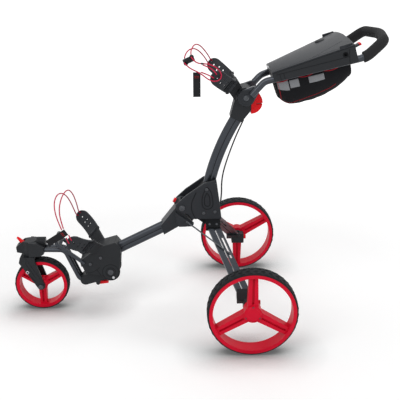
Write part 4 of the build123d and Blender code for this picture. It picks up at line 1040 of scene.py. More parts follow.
@dataclass
class Fasteners:
    """Screw heads with a hex socket, over the plain heads of the frame's bolts."""

    repeat: Repeater
    sides: int = 18
    cap_out: float = 343.6
    cap_reach: float = 24.0

    RINGS = ((1.0, 0.0, False), (1.0, 0.55, False), (0.86, 0.9, False), (0.66, 1.0, False), (0.46, 1.0, True),
             (0.4232, 0.35, True))
    SETS = (("hub_screws", "main_frame", ((55, 42.3, 457), (45, 42.3, 372), (84, 42.3, 376)), 5.4, 2.6,
             DARK_STEEL),
            ("fold_bolt_head", "main_frame", ((-29, 44.8, 391),), 8.4, 2.4, DARK_STEEL),
            ("hinge_bolt_head", "main_frame", ((HANDLE_HINGE[0], 58.0, HANDLE_HINGE[1]),), 8.2, 2.2,
             DARK_STEEL),
            ("bracket_screws", "front_frame", ((-315, 38.3, 206), (-352, 38.3, 182)), 5.3, 1.6, DARK_STEEL),
            ("arm_bolt_head", "front_frame", ((-282, 38.8, 150),), 9.4, 2.0, DARK_STEEL),
            ("bright_rivet", "front_frame", ((-273, 36.8, 129),), 4.6, 1.6, STEEL),
            ("axle_nut", "front_fork", ((FRONT_AXLE[0], 39.8, FRONT_AXLE[1]),), 8.4, 2.2, DARK_STEEL))

    def head(self, radius: float, height: float) -> bpy.types.Object:
        """Make one screw head that stands on the XY plane.

        Args:
            radius: The head's radius.
            height: Its height.

        Returns:
            A mesh object to repeat.
        """
        sixth = math.pi / 3
        points = []
        for share, up, hexagonal in self.RINGS:
            for step in range(self.sides):
                angle = FULL_TURN * step / self.sides
                reach = share * radius
                if hexagonal:
                    reach /= math.cos(angle % sixth - sixth / 2)
                points.append((reach * math.cos(angle), reach * math.sin(angle), up * height))
        last = (len(self.RINGS) - 1) * self.sides
        faces: list[tuple[int, ...]] = list(strip_faces(len(self.RINGS), self.sides, True))
        faces.append(tuple(range(self.sides)))
        faces.append(tuple(range(last, last + self.sides)))
        return mesh_piece("screw_head", points, faces, False)

    def set(self, name: str, body: str, places: Sequence[tuple[Point, Point]], radius: float, height: float,
            finish: Finish) -> None:
        """Put a set of equal screw heads on a body.

        Args:
            name: The set's name.
            body: The body that they ride on.
            places: Where each stands, in millimetres, and the way it faces.
            radius: The heads' radius in millimetres.
            height: Their height in millimetres.
            finish: Their finish.
        """
        spots = [(Vector(at) * MM, way) for at, way in places]
        heads = self.repeat.spots(name, self.head(radius * MM, height * MM), spots, finish)
        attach(heads, body)

    def build(self) -> None:
        """Put heads on the hub, the bracket, the hinges, the fork and the wheels."""
        for side in Side:
            out = (0, side.value, 0)
            for name, body, spots, radius, height, finish in self.SETS:
                places = [((x, side.value * y, z), out) for x, y, z in spots]
                self.set(f"{name}_{side.word}", body, places, radius, height, finish)
            places = []
            for step in range(3):
                angle = math.radians((90 if side is Side.LEFT else 30) + 120 * step)
                x = REAR_AXLE[0] + self.cap_reach * math.cos(angle)
                z = REAR_AXLE[1] + self.cap_reach * math.sin(angle)
                places.append(((x, side.value * self.cap_out, z), out))
            self.set(f"hub_cap_screws_{side.word}", f"rear_wheel_{side.word}", places, 3.3, 2.2, DARK_STEEL)


@dataclass
class Tyres:
    """Solid tyres with a wavy block tread, in place of the plain rings."""

    repeat: Repeater
    half_track: float = 323.0
    tread_depth: float = 2.2
    draft: float = 0.6
    root: float = 0.6
    bands: int = 3
    wave: float = 3.0
    steps: int = 6
    gap_share: float = 0.10
    edge: float = 3.0
    lip_drop: float = 6.2
    bead: float = 12.0
    lip: float = 3.3
    sides: int = 120
    slant: float = 0.18
    shoulder: float = 1.6
    land: float = 1.1
    crown_fall: float = 0.5

    def build(self) -> None:
        """Make the three tyres."""
        for side in Side:
            middle = Vector((REAR_AXLE[0], side.value * self.half_track, REAR_AXLE[1]))
            self._tyre(f"rear_tyre_{side.word}", f"rear_wheel_{side.word}", middle, 145.0, 25.0, 38)
        self._tyre("front_tyre", "front_wheel", Vector((FRONT_AXLE[0], 0, FRONT_AXLE[1])), 96.0, 21.0, 26)

    def _crown(self, outer: float, half: float, across: float) -> float:
        """Give the tread's radius at a distance from the tyre's middle plane."""
        flat = half - 2 * self.edge
        return outer - max(0.0, abs(across) - flat) * self.crown_fall

    def _tyre(self, node: str, body: str, middle: Vector, outer: float, half: float, units: int) -> None:
        """Make one tyre.

        Args:
            node: The CAD ring that it stands for.
            body: The wheel that it rides on.
            middle: The wheel's middle in millimetres.
            outer: Its outer radius.
            half: Half its width.
            units: How often the tread repeats.
        """
        low = self.tread_depth
        seat = half - self.lip
        right = [(outer - self.bead, seat), (outer - self.lip_drop, seat), (outer - self.lip_drop, half),
                 (outer - self.edge - 0.6, half),
                 (outer - self.edge * 0.6 - 0.6 * low, half - 0.4 * self.edge),
                 (outer - low, half - 2.2 * self.edge), (outer - low, 0.4 * half)]
        profile = right + [(radius, -along) for radius, along in reversed(right)]
        place = shifted(middle)
        fitted(turned(node + "_casing", profile, self.sides, place), RUBBER, body, node)
        tread = self.repeat.ring(node + "_tread", self._unit(outer, half, units), units, RUBBER)
        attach(placed(tread, place), body)

    def _unit(self, outer: float, half: float, units: int) -> bpy.types.Object:
        """Make one repeat of the tread: a slanted wavy block in each band.

        Args:
            outer: The tyre's radius in millimetres.
            half: Half its width.
            units: How many repeats go round.

        Returns:
            A closed mesh object at the start of the ring.
        """
        pitch = FULL_TURN / units
        reach = half - self.shoulder
        wide = 2 * reach / self.bands
        points: list[tuple[float, float, float]] = []
        faces: list[tuple[int, ...]] = []
        for band in range(self.bands):
            centre = -reach + wide * (band + 0.5)
            shift = 0.5 * (band % 2)
            base = len(points)
            for row in range(self.steps + 1):
                share = row / self.steps * (1 - self.gap_share)
                swing = self.wave * math.sin(FULL_TURN * (share + shift))
                edges = (-wide / 2 + self.land, wide / 2 - self.land)
                top = [max(-reach, min(reach, centre + swing + side)) for side in edges]
                foot = [top[0] - self.draft, top[1] + self.draft]
                for across, under in ((top[0], False), (top[1], False), (foot[1], True), (foot[0], True)):
                    radius = self._crown(outer, half, across)
                    if under:
                        radius -= self.tread_depth + self.root
                    angle = pitch * (share + self.slant * across / reach)
                    reach_x = radius * math.cos(angle)
                    reach_z = -radius * math.sin(angle)
                    points.append((reach_x * MM, across * MM, reach_z * MM))
            quads = strip_faces(self.steps + 1, 4, True)
            faces += [tuple(base + corner for corner in quad) for quad in quads]
            last = base + 4 * self.steps
            faces.append((base, base + 1, base + 2, base + 3))
            faces.append((last + 3, last + 2, last + 1, last))
        return mesh_piece("tread_unit", points, faces, False)


@dataclass
class Mouldings:
    """Moulded and cast pieces: the frame's solids with their edges rounded as a mould leaves them."""

    nodes: dict[str, bpy.types.Object]
    keep: float = 0.22
    passes: int = 4

    def soften(self, node: str, body: str, finish: Finish, voxel: float = 1.0) -> None:
        """Stand a softened copy in for a CAD node.

        Args:
            node: The CAD node.
            body: The body that it rides on.
            finish: The copy's finish.
            voxel: The size of the remeshing steps in millimetres.
        """
        piece = remoulded(node + "_moulded", self.nodes[node], voxel, self.passes, self.keep)
        weigh_normals(piece)
        piece = fitted(smoothed(finished(piece)), finish, body, node)
        LOG.info("moulded %s with %d faces", node, len(piece.data.polygons))

    def build(self) -> None:
        """Soften each moulded piece."""
        for side in Side:
            word = side.word
            self.soften(f"hub_shell_{word}", "main_frame", SATIN)
            self.soften(f"upper_wing_{word}", f"wing_upper_{word}", SATIN, 0.9)
            self.soften(f"lower_wing_{word}", f"wing_lower_{word}", SATIN, 0.9)
            self.soften(f"wheel_carrier_{word}", f"carrier_{word}", MOULDED)
        self.soften("upper_collar", "main_frame", MOULDED)
        self.soften("front_knuckle", "front_frame", SATIN)
        self.soften("lower_bracket", "front_frame", MOULDED, 1.1)
        self.soften("bag_rest", "front_frame", GRAPHITE)
        self.soften("arm_knuckle", "front_arm", MOULDED)
        self.soften("caster_head", "front_arm", MOULDED)
        self.soften("front_fork", "front_fork", MOULDED)
        self.soften("clamp_lever", "clamp_lever", LEVER_RED)
        self.soften("arm_pedal", "arm_pedal", LEVER_RED)
        self.soften("console_tray", "handle", MOULDED, 1.2)
        self.soften("console_lid", "console_lid", SATIN, 1.2)
        self.soften("brake_lever", "brake_lever", MOULDED, 0.8)


@dataclass
class Bare:
    """CAD nodes that show as they are, each with its finish."""

    nodes: dict[str, bpy.types.Object]

    def build(self) -> None:
        """Finish every node that keeps its own shape."""
        plan: dict[Finish, tuple[str, ...]] = {
            GRAPHITE: ("upper_tube", "front_tube", "arm_tubes", "handle_tube", "leg_bar_front_left",
                       "leg_bar_front_right", "leg_bar_rear_left", "leg_bar_rear_right"),
            WHEEL_RED: ("rear_rim_left", "rear_rim_right", "front_rim"),
            LEVER_RED: ("fold_button", "wheel_release_left", "wheel_release_right"),
            DARK_STEEL: ("frame_bolts", "bracket_bolts", "fork_pins", "spreader_rod_left",
                         "spreader_rod_right"),
            STEEL: ("rear_axle_left", "rear_axle_right"),
            # The hub core is black plastic, painted darker still as shade between the hub shells.
            SHADOW: ("hub_core",),
            MOULDED: ("tracking_knob",),
        }
        for finish, names in plan.items():
            for name in names:
                PAINT.dress(self.nodes[name], finish)


@dataclass(frozen=True)
class Pull:
    """The stretch of a cord beside a cradle wing, in millimetres."""

    wing: str
    start: Point
    end: Point


@dataclass
class Cords:
    """Elastic cords of both bag cradles and the brake cable, on the routes of their solids."""

    cord_diameter: float = 4.0
    cable_diameter: float = 5.0

    BRAKE_CABLE = ((178, -8, 690), (160, -8, 650), (143, -8, 606), (127, -8, 560), (112, -8, 508),
                   (107, -8, 468), (108, -8, 430), (104, -8, 396))
    UPPER_CORD_A = ((71.5, 131.6, 850.7), (64.9, 118, 856), (53, 102, 878), (34, 74, 903), (17, 40, 917),
                    (3, 0, 921), (-8, -40, 919), (-15, -78, 913), (-17, -98.5, 907))
    UPPER_CORD_B = ((80.2, 131.6, 861.6), (73.6, 118, 866.9), (62, 101, 889), (42, 72, 917), (27, 38, 931),
                    (15, -4, 935), (7, -46, 930), (2, -83, 922), (4, -98, 913))
    UPPER_LOOP = ((3, -115, 913), (12, -121, 902), (24, -130, 896), (39, -138, 896), (57, -141, 895),
                  (76, -139, 887), (91, -132, 873), (97, -129, 858), (92, -132, 846), (76, -139, 841),
                  (57, -141, 847), (41, -138, 859), (27, -132, 868), (10, -127, 875), (-6, -121, 883),
                  (-18, -115, 895))
    UPPER_TIES = (((38, -137, 892), (53, -139, 887), (66, -141, 880), (75, -140.5, 871.5), (80.5, -137, 864),
                   (80.2, -131.5, 861.7), (76.5, -124, 864.6)),
                  ((33, -131, 869), (46, -136, 865), (57, -139, 861), (66, -140, 856), (71.8, -137, 852.5),
                   (71.5, -131.6, 850.7), (67.8, -124, 853.7)))
    LOWER_CORD_A = ((-405.4, 127.2, 301.6), (-413.1, 114.6, 307.8), (-419, 105, 334), (-427, 90, 368),
                    (-436, 66, 401), (-446, 32, 424), (-456, -6, 431), (-460, -44, 421), (-455, -78, 402),
                    (-443, -106, 377), (-427, -126, 350))
    LOWER_CORD_B = ((-396.6, 127.2, 312.5), (-404.3, 114.6, 318.7), (-406, 104, 346), (-410, 88, 380),
                    (-416, 66, 413), (-424, 34, 436), (-433, -4, 436), (-439, -42, 423), (-440, -76, 403),
                    (-433, -104, 378), (-421, -126, 354))
    LOWER_TIES = (((-400.9, -120.1, 316), (-396.6, -127.2, 312.5), (-395.8, -134.5, 316.5), (-400, -135, 325),
                   (-404.5, -130, 333)),
                  ((-409.7, -120.1, 305.1), (-405.4, -127.2, 301.6), (-404.7, -134.5, 305.5),
                   (-409, -135, 314), (-413, -130, 323)))

    LOOP_PULL = Pull("wing_upper_left", (32, -133, 880), (76, -131, 862))

    def build(self) -> None:
        """Lay every cord."""
        self._cord("brake_cable", "brake_cable", self.BRAKE_CABLE, "main_frame")
        upper = ((self.UPPER_CORD_A, 0.272), (self.UPPER_CORD_B, 0.273))
        lower = ((self.LOWER_CORD_A, 0.359), (self.LOWER_CORD_B, 0.352))
        for letter, (route, length) in zip("ab", upper):
            pull = Pull("wing_upper_right", route[5], route[1])
            self._cord(f"upper_cord_{letter}", f"upper_cord_{letter}", route, "main_frame", pull)
        for letter, (route, length) in zip("ab", lower):
            pull = Pull("wing_lower_right", route[5], route[1])
            self._cord(f"lower_cord_{letter}", f"lower_cord_{letter}", route, "front_frame", pull)
        self._cord("upper_cord_loop", "upper_cord_loop", self.UPPER_LOOP, "main_frame", self.LOOP_PULL)
        for number, (route, length) in enumerate(zip(self.UPPER_TIES, (0.067, 0.058)), 1):
            name = f"upper_cord_tie_{number}"
            self._cord(name, "upper_cord_ties", route, "main_frame", self.LOOP_PULL)
        for number, (route, length) in enumerate(zip(self.LOWER_TIES, (0.036, 0.036)), 1):
            pull = Pull("wing_lower_left", route[4], route[1])
            self._cord(f"lower_cord_tie_{number}", "lower_cord_ties", route, "front_frame", pull)

    def _cord(self, name: str, node: str, route: Sequence[Point], body: str,
              pull: Pull | None = None) -> None:
        """Lay one cord.

        Args:
            name: The cord's name.
            node: The CAD tube that it stands for.
            route: Its control points in millimetres.
            body: The body that it rides on; only the cable is attached to it.
            pull: The stretch beside a wing, given for an elastic cord.
        """
        cable = pull is None
        diameter = (self.cable_diameter if cable else self.cord_diameter) * MM
        points = metres(route)
        line = nurbs_line(name + "_line", points, diameter / 2)
        if not cable:
            line = finished(line)
        PAINT.dress(line, SHEATH if cable else BRAID_RED)
        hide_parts(node)
        None if cable else course(points)
        if pull is None:
            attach(line, body)
        else:
            start, end = metres((pull.start, pull.end))
            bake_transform(line)


@dataclass
class Webbing:
    """The two pull straps of folded webbing, with bar-tack stitching."""

    repeat: Repeater
    width: float = 23.0
    ply: float = 1.3
    air: float = 0.35
    rows: int = 22
    columns: int = 7
    sway: float = 1.1
    edge_round: float = 0.4
    stitch: float = 1.7
    stitches: int = 9
    thread: Point = (0.7, 2.0, 0.45)
    roll_share: float = 0.95
    roll_drop: float = 0.6
    sway_share: float = 0.35
    spread: float = 0.5
    tack_drops: tuple[float, float] = (11.0, 15.5)

    def build(self) -> None:
        """Make the upper strap and the lower tab."""
        self._strap("upper_pull_strap", "main_frame", Vector((20, -129.5, 867.5)),
                    Vector((20.5, -129.5, 792.3)))
        self._strap("lower_pull_tab", "front_frame", Vector((-413, -127.5, 342)),
                    Vector((-476.5, -127.5, 301.3)))

    def _strap(self, node: str, body: str, top: Vector, end: Vector) -> None:
        """Make one folded strap in the plane of its solid.

        Args:
            node: The CAD solid that it stands for.
            body: The body that it rides on.
            top: The fold, in millimetres.
            end: The free end.
        """
        run = end - top
        along = run.normalized()
        out = Vector((0, -1, 0))
        across = along.cross(out).normalized()
        pieces = []
        for face in (-1, 1):
            points = []
            for row in range(self.rows + 1):
                share = row / self.rows
                middle = top + run * share + out * self._lift(share, face)
                for column in range(self.columns + 1):
                    wide = (column / self.columns - 0.5) * self.width
                    points.append((middle + across * wide) * MM)
            sheet = mesh_piece(f"{node}_ply", points, strip_faces(self.rows + 1, self.columns + 1))
            thickened(sheet, self.ply)
            round_edge = sheet.modifiers.new("edge", "BEVEL")
            round_edge.width = self.edge_round * MM
            round_edge.segments = 2
            pieces.append(finished(sheet))
        fold = [(top + across * (side * self.width / 2) + along * self.roll_drop) * MM
                for side in (-1, -0.3, 0.3, 1)]
        roll = pipe(f"{node}_roll", fold, (self.ply + self.air) * self.roll_share * MM, 5)
        fitted(smoothed(joined(f"{node}_webbing", [*pieces, roll])), WEBBING, body, node)
        self._tacks(node, body, top, along, across, out)

    def _lift(self, share: float, face: int) -> float:
        """Give a ply's distance from the strap's middle plane.

        Args:
            share: How far along the strap, from the fold at 0.
            face: Which ply.

        Returns:
            The distance in millimetres, towards the camera.
        """
        wave = self.sway * math.sin(math.pi * share) * self.sway_share
        apart = (self.ply + self.air) / 2 * (1 + self.spread * share * share)
        return wave + face * apart

    def _tacks(self, node: str, body: str, top: Vector, along: Vector, across: Vector, out: Vector) -> None:
        """Sew two red bar tacks under the fold.

        Args:
            node: The CAD solid of the strap.
            body: The body that it rides on.
            top: The fold, in millimetres.
            along: The way down the strap.
            across: The way over its width.
            out: The way that its outer face looks.
        """
        stitch = self.stitch
        count = self.stitches
        for number, drop in enumerate(self.tack_drops, 1):
            start = top + along * drop - across * (stitch * 0.5 * (count - 1))
            start += out * (self.ply * 1.5 + 0.55)
            thread = block("stitch", self.thread, 0.2, 2, axes(across, along, out))
            step = across * stitch * MM
            tack = self.repeat.row(f"{node}_tack_{number}", thread, count, step, THREAD)
            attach(placed(tack, shifted(start)), body)


@dataclass
class CordLock:
    """The ribbed buckle that gathers the upper cords."""

    repeat: Repeater
    at: Point = (-4.0, -106.0, 902.0)
    pitch: float = -25.0
    size: Point = (36.0, 10.5, 18.0)
    corner: float = 2.4
    ear_radius: float = 7.2
    ear_edge: float = 1.2
    ear_sides: int = 28
    ear_shift: tuple[float, float] = (12.0, 4.6)
    ribs: int = 5
    rib: Point = (1.6, 1.8, 15.0)
    rib_step: float = 4.2
    rib_proud: float = 0.3
    crimp: float = 3.1

    HOLD = ((33.5, -135.2, 896.0), (36.5, -136.4, 896.0), (40.5, -138.0, 895.6))

    def build(self) -> None:
        """Make the body, its ears and its ribs."""
        turn = Matrix.Rotation(math.radians(self.pitch), 4, "Y")
        place = shifted(self.at) @ turn
        body = block("lock_body", self.size, self.corner, 4)
        half = self.size[1] / 2
        edge = self.ear_edge
        radius = self.ear_radius
        profile = [(0.0, -half), (radius - edge, -half), (radius, edge - half), (radius, half - edge),
                   (radius - edge, half), (0.0, half)]
        ears = []
        for sign in (-1, 1):
            at = (sign * self.ear_shift[0], 0, sign * self.ear_shift[1])
            ears.append(turned("lock_ear", profile, self.ear_sides, shifted(at)))
        whole = smoothed(placed(joined("cord_lock_body", [body, *ears]), place))
        fitted(whole, MOULDED, "main_frame", "cord_buckle")
        bar = block("lock_rib", self.rib, 0.6, 2)
        ribs = self.repeat.row("cord_lock_ribs", bar, self.ribs, (self.rib_step * MM, 0, 0), MOULDED)
        first = (-self.rib_step * (self.ribs - 1) / 2, -half - self.rib_proud, 0)
        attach(placed(ribs, place @ shifted(first)), "main_frame")
        fitted(pipe("cord_crimp", metres(self.HOLD), self.crimp * MM), SHEATH, "main_frame")


@dataclass
class Slope:
    """The handle's slope, on which the console and the net are laid out, in millimetres."""

    bend: Point = (238.0, 60.0, 826.0)
    rear: Point = (534.0, 150.0, 916.0)
    start: float = 28.0
    end: float = 284.0
    front_height: float = 20.0
    rear_height: float = 44.0
    floor: float = -7.0
    side: float = 13.0

    def heading(self) -> Vector:
        """The way along the slope, towards the grip."""
        run = Vector(self.rear) - Vector(self.bend)
        return Vector((run.x, 0, run.z)).normalized()

    def at(self, along: float, across: float, up: float) -> Vector:
        """Give a place on the slope in metres.

        Args:
            along: Distance from the handle's bend.
            across: Distance from the middle, positive to the cart's right.
            up: Height over the tubes' centre plane.

        Returns:
            The place in the cart's frame.
        """
        ahead = self.heading()
        upward = Vector((-ahead.z, 0, ahead.x))
        origin = Vector((self.bend[0], 0, self.bend[2]))
        return (origin + ahead * along + upward * up + Vector((0, across, 0))) * MM

    def frame(self, along: float, across: float, up: float) -> Matrix:
        """Give a placement whose X runs along the slope, Y to the right and Z up from it."""
        ahead = self.heading()
        upward = Vector((-ahead.z, 0, ahead.x))
        turn = axes(ahead, Vector((0, 1, 0)), upward)
        return Matrix.Translation(self.at(along, across, up)) @ turn

    def tube_half(self, along: float) -> float:
        """Distance of a handle tube from the middle."""
        span = math.hypot(self.rear[0] - self.bend[0], self.rear[2] - self.bend[2])
        return self.bend[1] + (self.rear[1] - self.bend[1]) * along / span

    def rim(self, along: float) -> float:
        """Height of the tray's rim."""
        share = (along - self.start) / (self.end - self.start)
        return self.front_height + (self.rear_height - self.front_height) * share


@dataclass
class StorageNet:
    """The sagging net bag under the console, with red piping and pale mesh windows."""

    slope: Slope
    stations: tuple[tuple[float, float], ...] = ((0.0, 64.0), (6.0, 77.0), (14.0, 88.0), (34.0, 103.0),
                                                 (70.0, 106.0), (120.0, 106.0), (160.0, 99.0), (200.0, 85.0),
                                                 (233.0, 60.0))
    rows: int = 64
    columns: int = 48
    wall: float = 1.4
    wrinkle: float = 1.5
    folds_along: float = 31.0
    fold_sway: float = 5.0
    sway_turns: float = 7.0
    folds_round: float = 23.0
    fold_lean: float = 9.0
    round_share: float = 0.7
    belly: float = 0.9
    front_room: float = 3.0
    rim_drop: float = 0.6
    tube_room: float = 14.0
    flat: tuple[float, float] = (0.30, 0.27)
    cut: float = 0.066
    windows: tuple[tuple[float, float, float, float], ...] = ((0.02, 0.17, 0.020, 0.125),
                                                              (0.185, 0.31, 0.025, 0.105),
                                                              (0.44, 0.645, 0.032, 0.095))
    seam_turns: tuple[tuple[float, float], ...] = ((0.04, 0.42), (0.12, 0.36), (0.265, 0.308), (0.51, 0.267),
                                                   (0.66, 0.252), (0.78, 0.225))
    front_rings: tuple[float, ...] = (0.02, 0.35, 0.62, 0.84, 0.95)
    front_bulge: float = 2.0
    pane_rows: int = 16
    pane_columns: int = 8
    pane_wall: float = 0.6
    pane_out: float = 1.2

    def depth(self, share: float) -> float:
        """Give the bag's depth at a share of its length, smoothed over its stations."""
        places = [place for place, _ in self.stations]
        depths = [depth for _, depth in self.stations]
        spread = np.linspace(-0.03, 0.03, 9)
        return float(np.mean(np.interp((share + spread) * places[-1], places, depths)))

    def point(self, share: float, turn: float, out: float = 0.0, side: Side = Side.LEFT) -> Vector:
        """Give a point of the bag in metres.

        Args:
            share: How far along, from the front at 0.
            turn: How far round, from the side's rim at 0 to the other rim at 1.
            out: How far outside the cloth, in millimetres.
            side: The side that it is counted from.

        Returns:
            The point in the cart's frame.
        """
        turn = turn if side is Side.LEFT else 1 - turn
        along = self.slope.start + self.front_room + share * self.stations[-1][0]
        half = self.slope.tube_half(along) - self.tube_room
        angle = math.pi * turn
        sway = self.fold_sway * math.sin(self.sway_turns * turn)
        fold = self.wrinkle * math.sin(self.folds_along * share + sway) * math.sin(angle)
        fold += self.round_share * self.wrinkle * math.sin(self.folds_round * turn + self.fold_lean * share)
        reach = fold / 2 + out - self.wrinkle
        across = -(half + reach) * math.cos(angle)
        sag = (self.depth(share) + reach) * math.sin(angle) ** self.belly
        up = self.slope.floor - self.rim_drop - sag
        return self.slope.at(along, across, up)

    def build(self) -> None:
        """Make the cloth, its windows and its piping."""
        cloth = fitted(self._cloth(), NET_BLACK, "handle", "storage_net")
        sewn = [*self._windows(), *self._piping()]

    def _cloth(self) -> bpy.types.Object:
        """Make the bag's cloth, which is closed at its front end.

        Returns:
            A thickened mesh.
        """
        turns = [column / self.columns for column in range(self.columns + 1)]
        rims = [self.point(0.0, turn) for turn in turns]
        middle = sum(rims, Vector()) / len(rims)
        points = []
        for shrink in self.front_rings:
            bulge = self.slope.heading() * (-self.front_bulge * MM * (1 - shrink * shrink))
            points += [middle + (rim - middle) * shrink + bulge for rim in rims]
        for row in range(self.rows + 1):
            points += [self.point(row / self.rows, turn) for turn in turns]
        faces = strip_faces(len(points) // len(turns), len(turns))
        return finished(thickened(mesh_piece("storage_net_cloth", points, faces), self.wall))

    def _windows(self) -> list[bpy.types.Object]:
        """Lay the pale mesh windows on each side of the bag.

        Returns:
            The panes.
        """
        panes = []
        for side in Side:
            panels = []
            for first, last, high, low in self.windows:
                points = []
                for row in range(self.pane_rows + 1):
                    share = first + (last - first) * row / self.pane_rows
                    for column in range(self.pane_columns + 1):
                        turn = high + (low - high) * column / self.pane_columns
                        points.append(self.point(share, turn, self.pane_out, side))
                grid = strip_faces(self.pane_rows + 1, self.pane_columns + 1)
                panels.append(mesh_piece("window", points, grid))
            pane = thickened(smoothed(joined(f"net_windows_{side.word}", panels)), self.pane_wall)
            panes.append(fitted(finished(pane), WINDOW, "handle"))
        return panes

    def _piping(self) -> list[bpy.types.Object]:
        """Sew red piping along the rim, the front panel and the long lower seam.

        Returns:
            The beads of piping.
        """
        lines: dict[str, tuple[list[Vector], float]] = {}
        shares = [share for share, _ in self.seam_turns]
        turns = [turn for _, turn in self.seam_turns]
        for side in Side:
            rim = []
            for step in range(33):
                share = step / 32
                scallop = 0.014 + 0.010 * math.sin(share * 19) + 0.016 * max(0.0, share - 0.7)
                rim.append(self.point(share, scallop, 1.6, side))
            seam = [self.point(share, float(np.interp(share, shares, turns)), 0.9, side)
                    for share in np.linspace(shares[0], shares[-1], 21)]
            tail = [self.point(0.985, 0.02 + 0.46 * step / 12, 0.9, side) for step in range(13)]
            lines[f"rim_piping_{side.word}"] = (rim, 1.7)
            lines[f"seam_piping_{side.word}"] = (seam, 0.9)
            lines[f"tail_binding_{side.word}"] = (tail, 1.0)
        hoop = [self.point(0.035, 0.02 + 0.96 * step / 32, 0.9) for step in range(33)]
        lines["front_piping"] = (hoop, 1.1)
        beads = []
        for name, (points, radius) in lines.items():
            finish = NET_BLACK if name.startswith("tail") else PIPING
            beads.append(fitted(pipe(name, points, radius * MM, 3), finish, "handle"))
        return beads


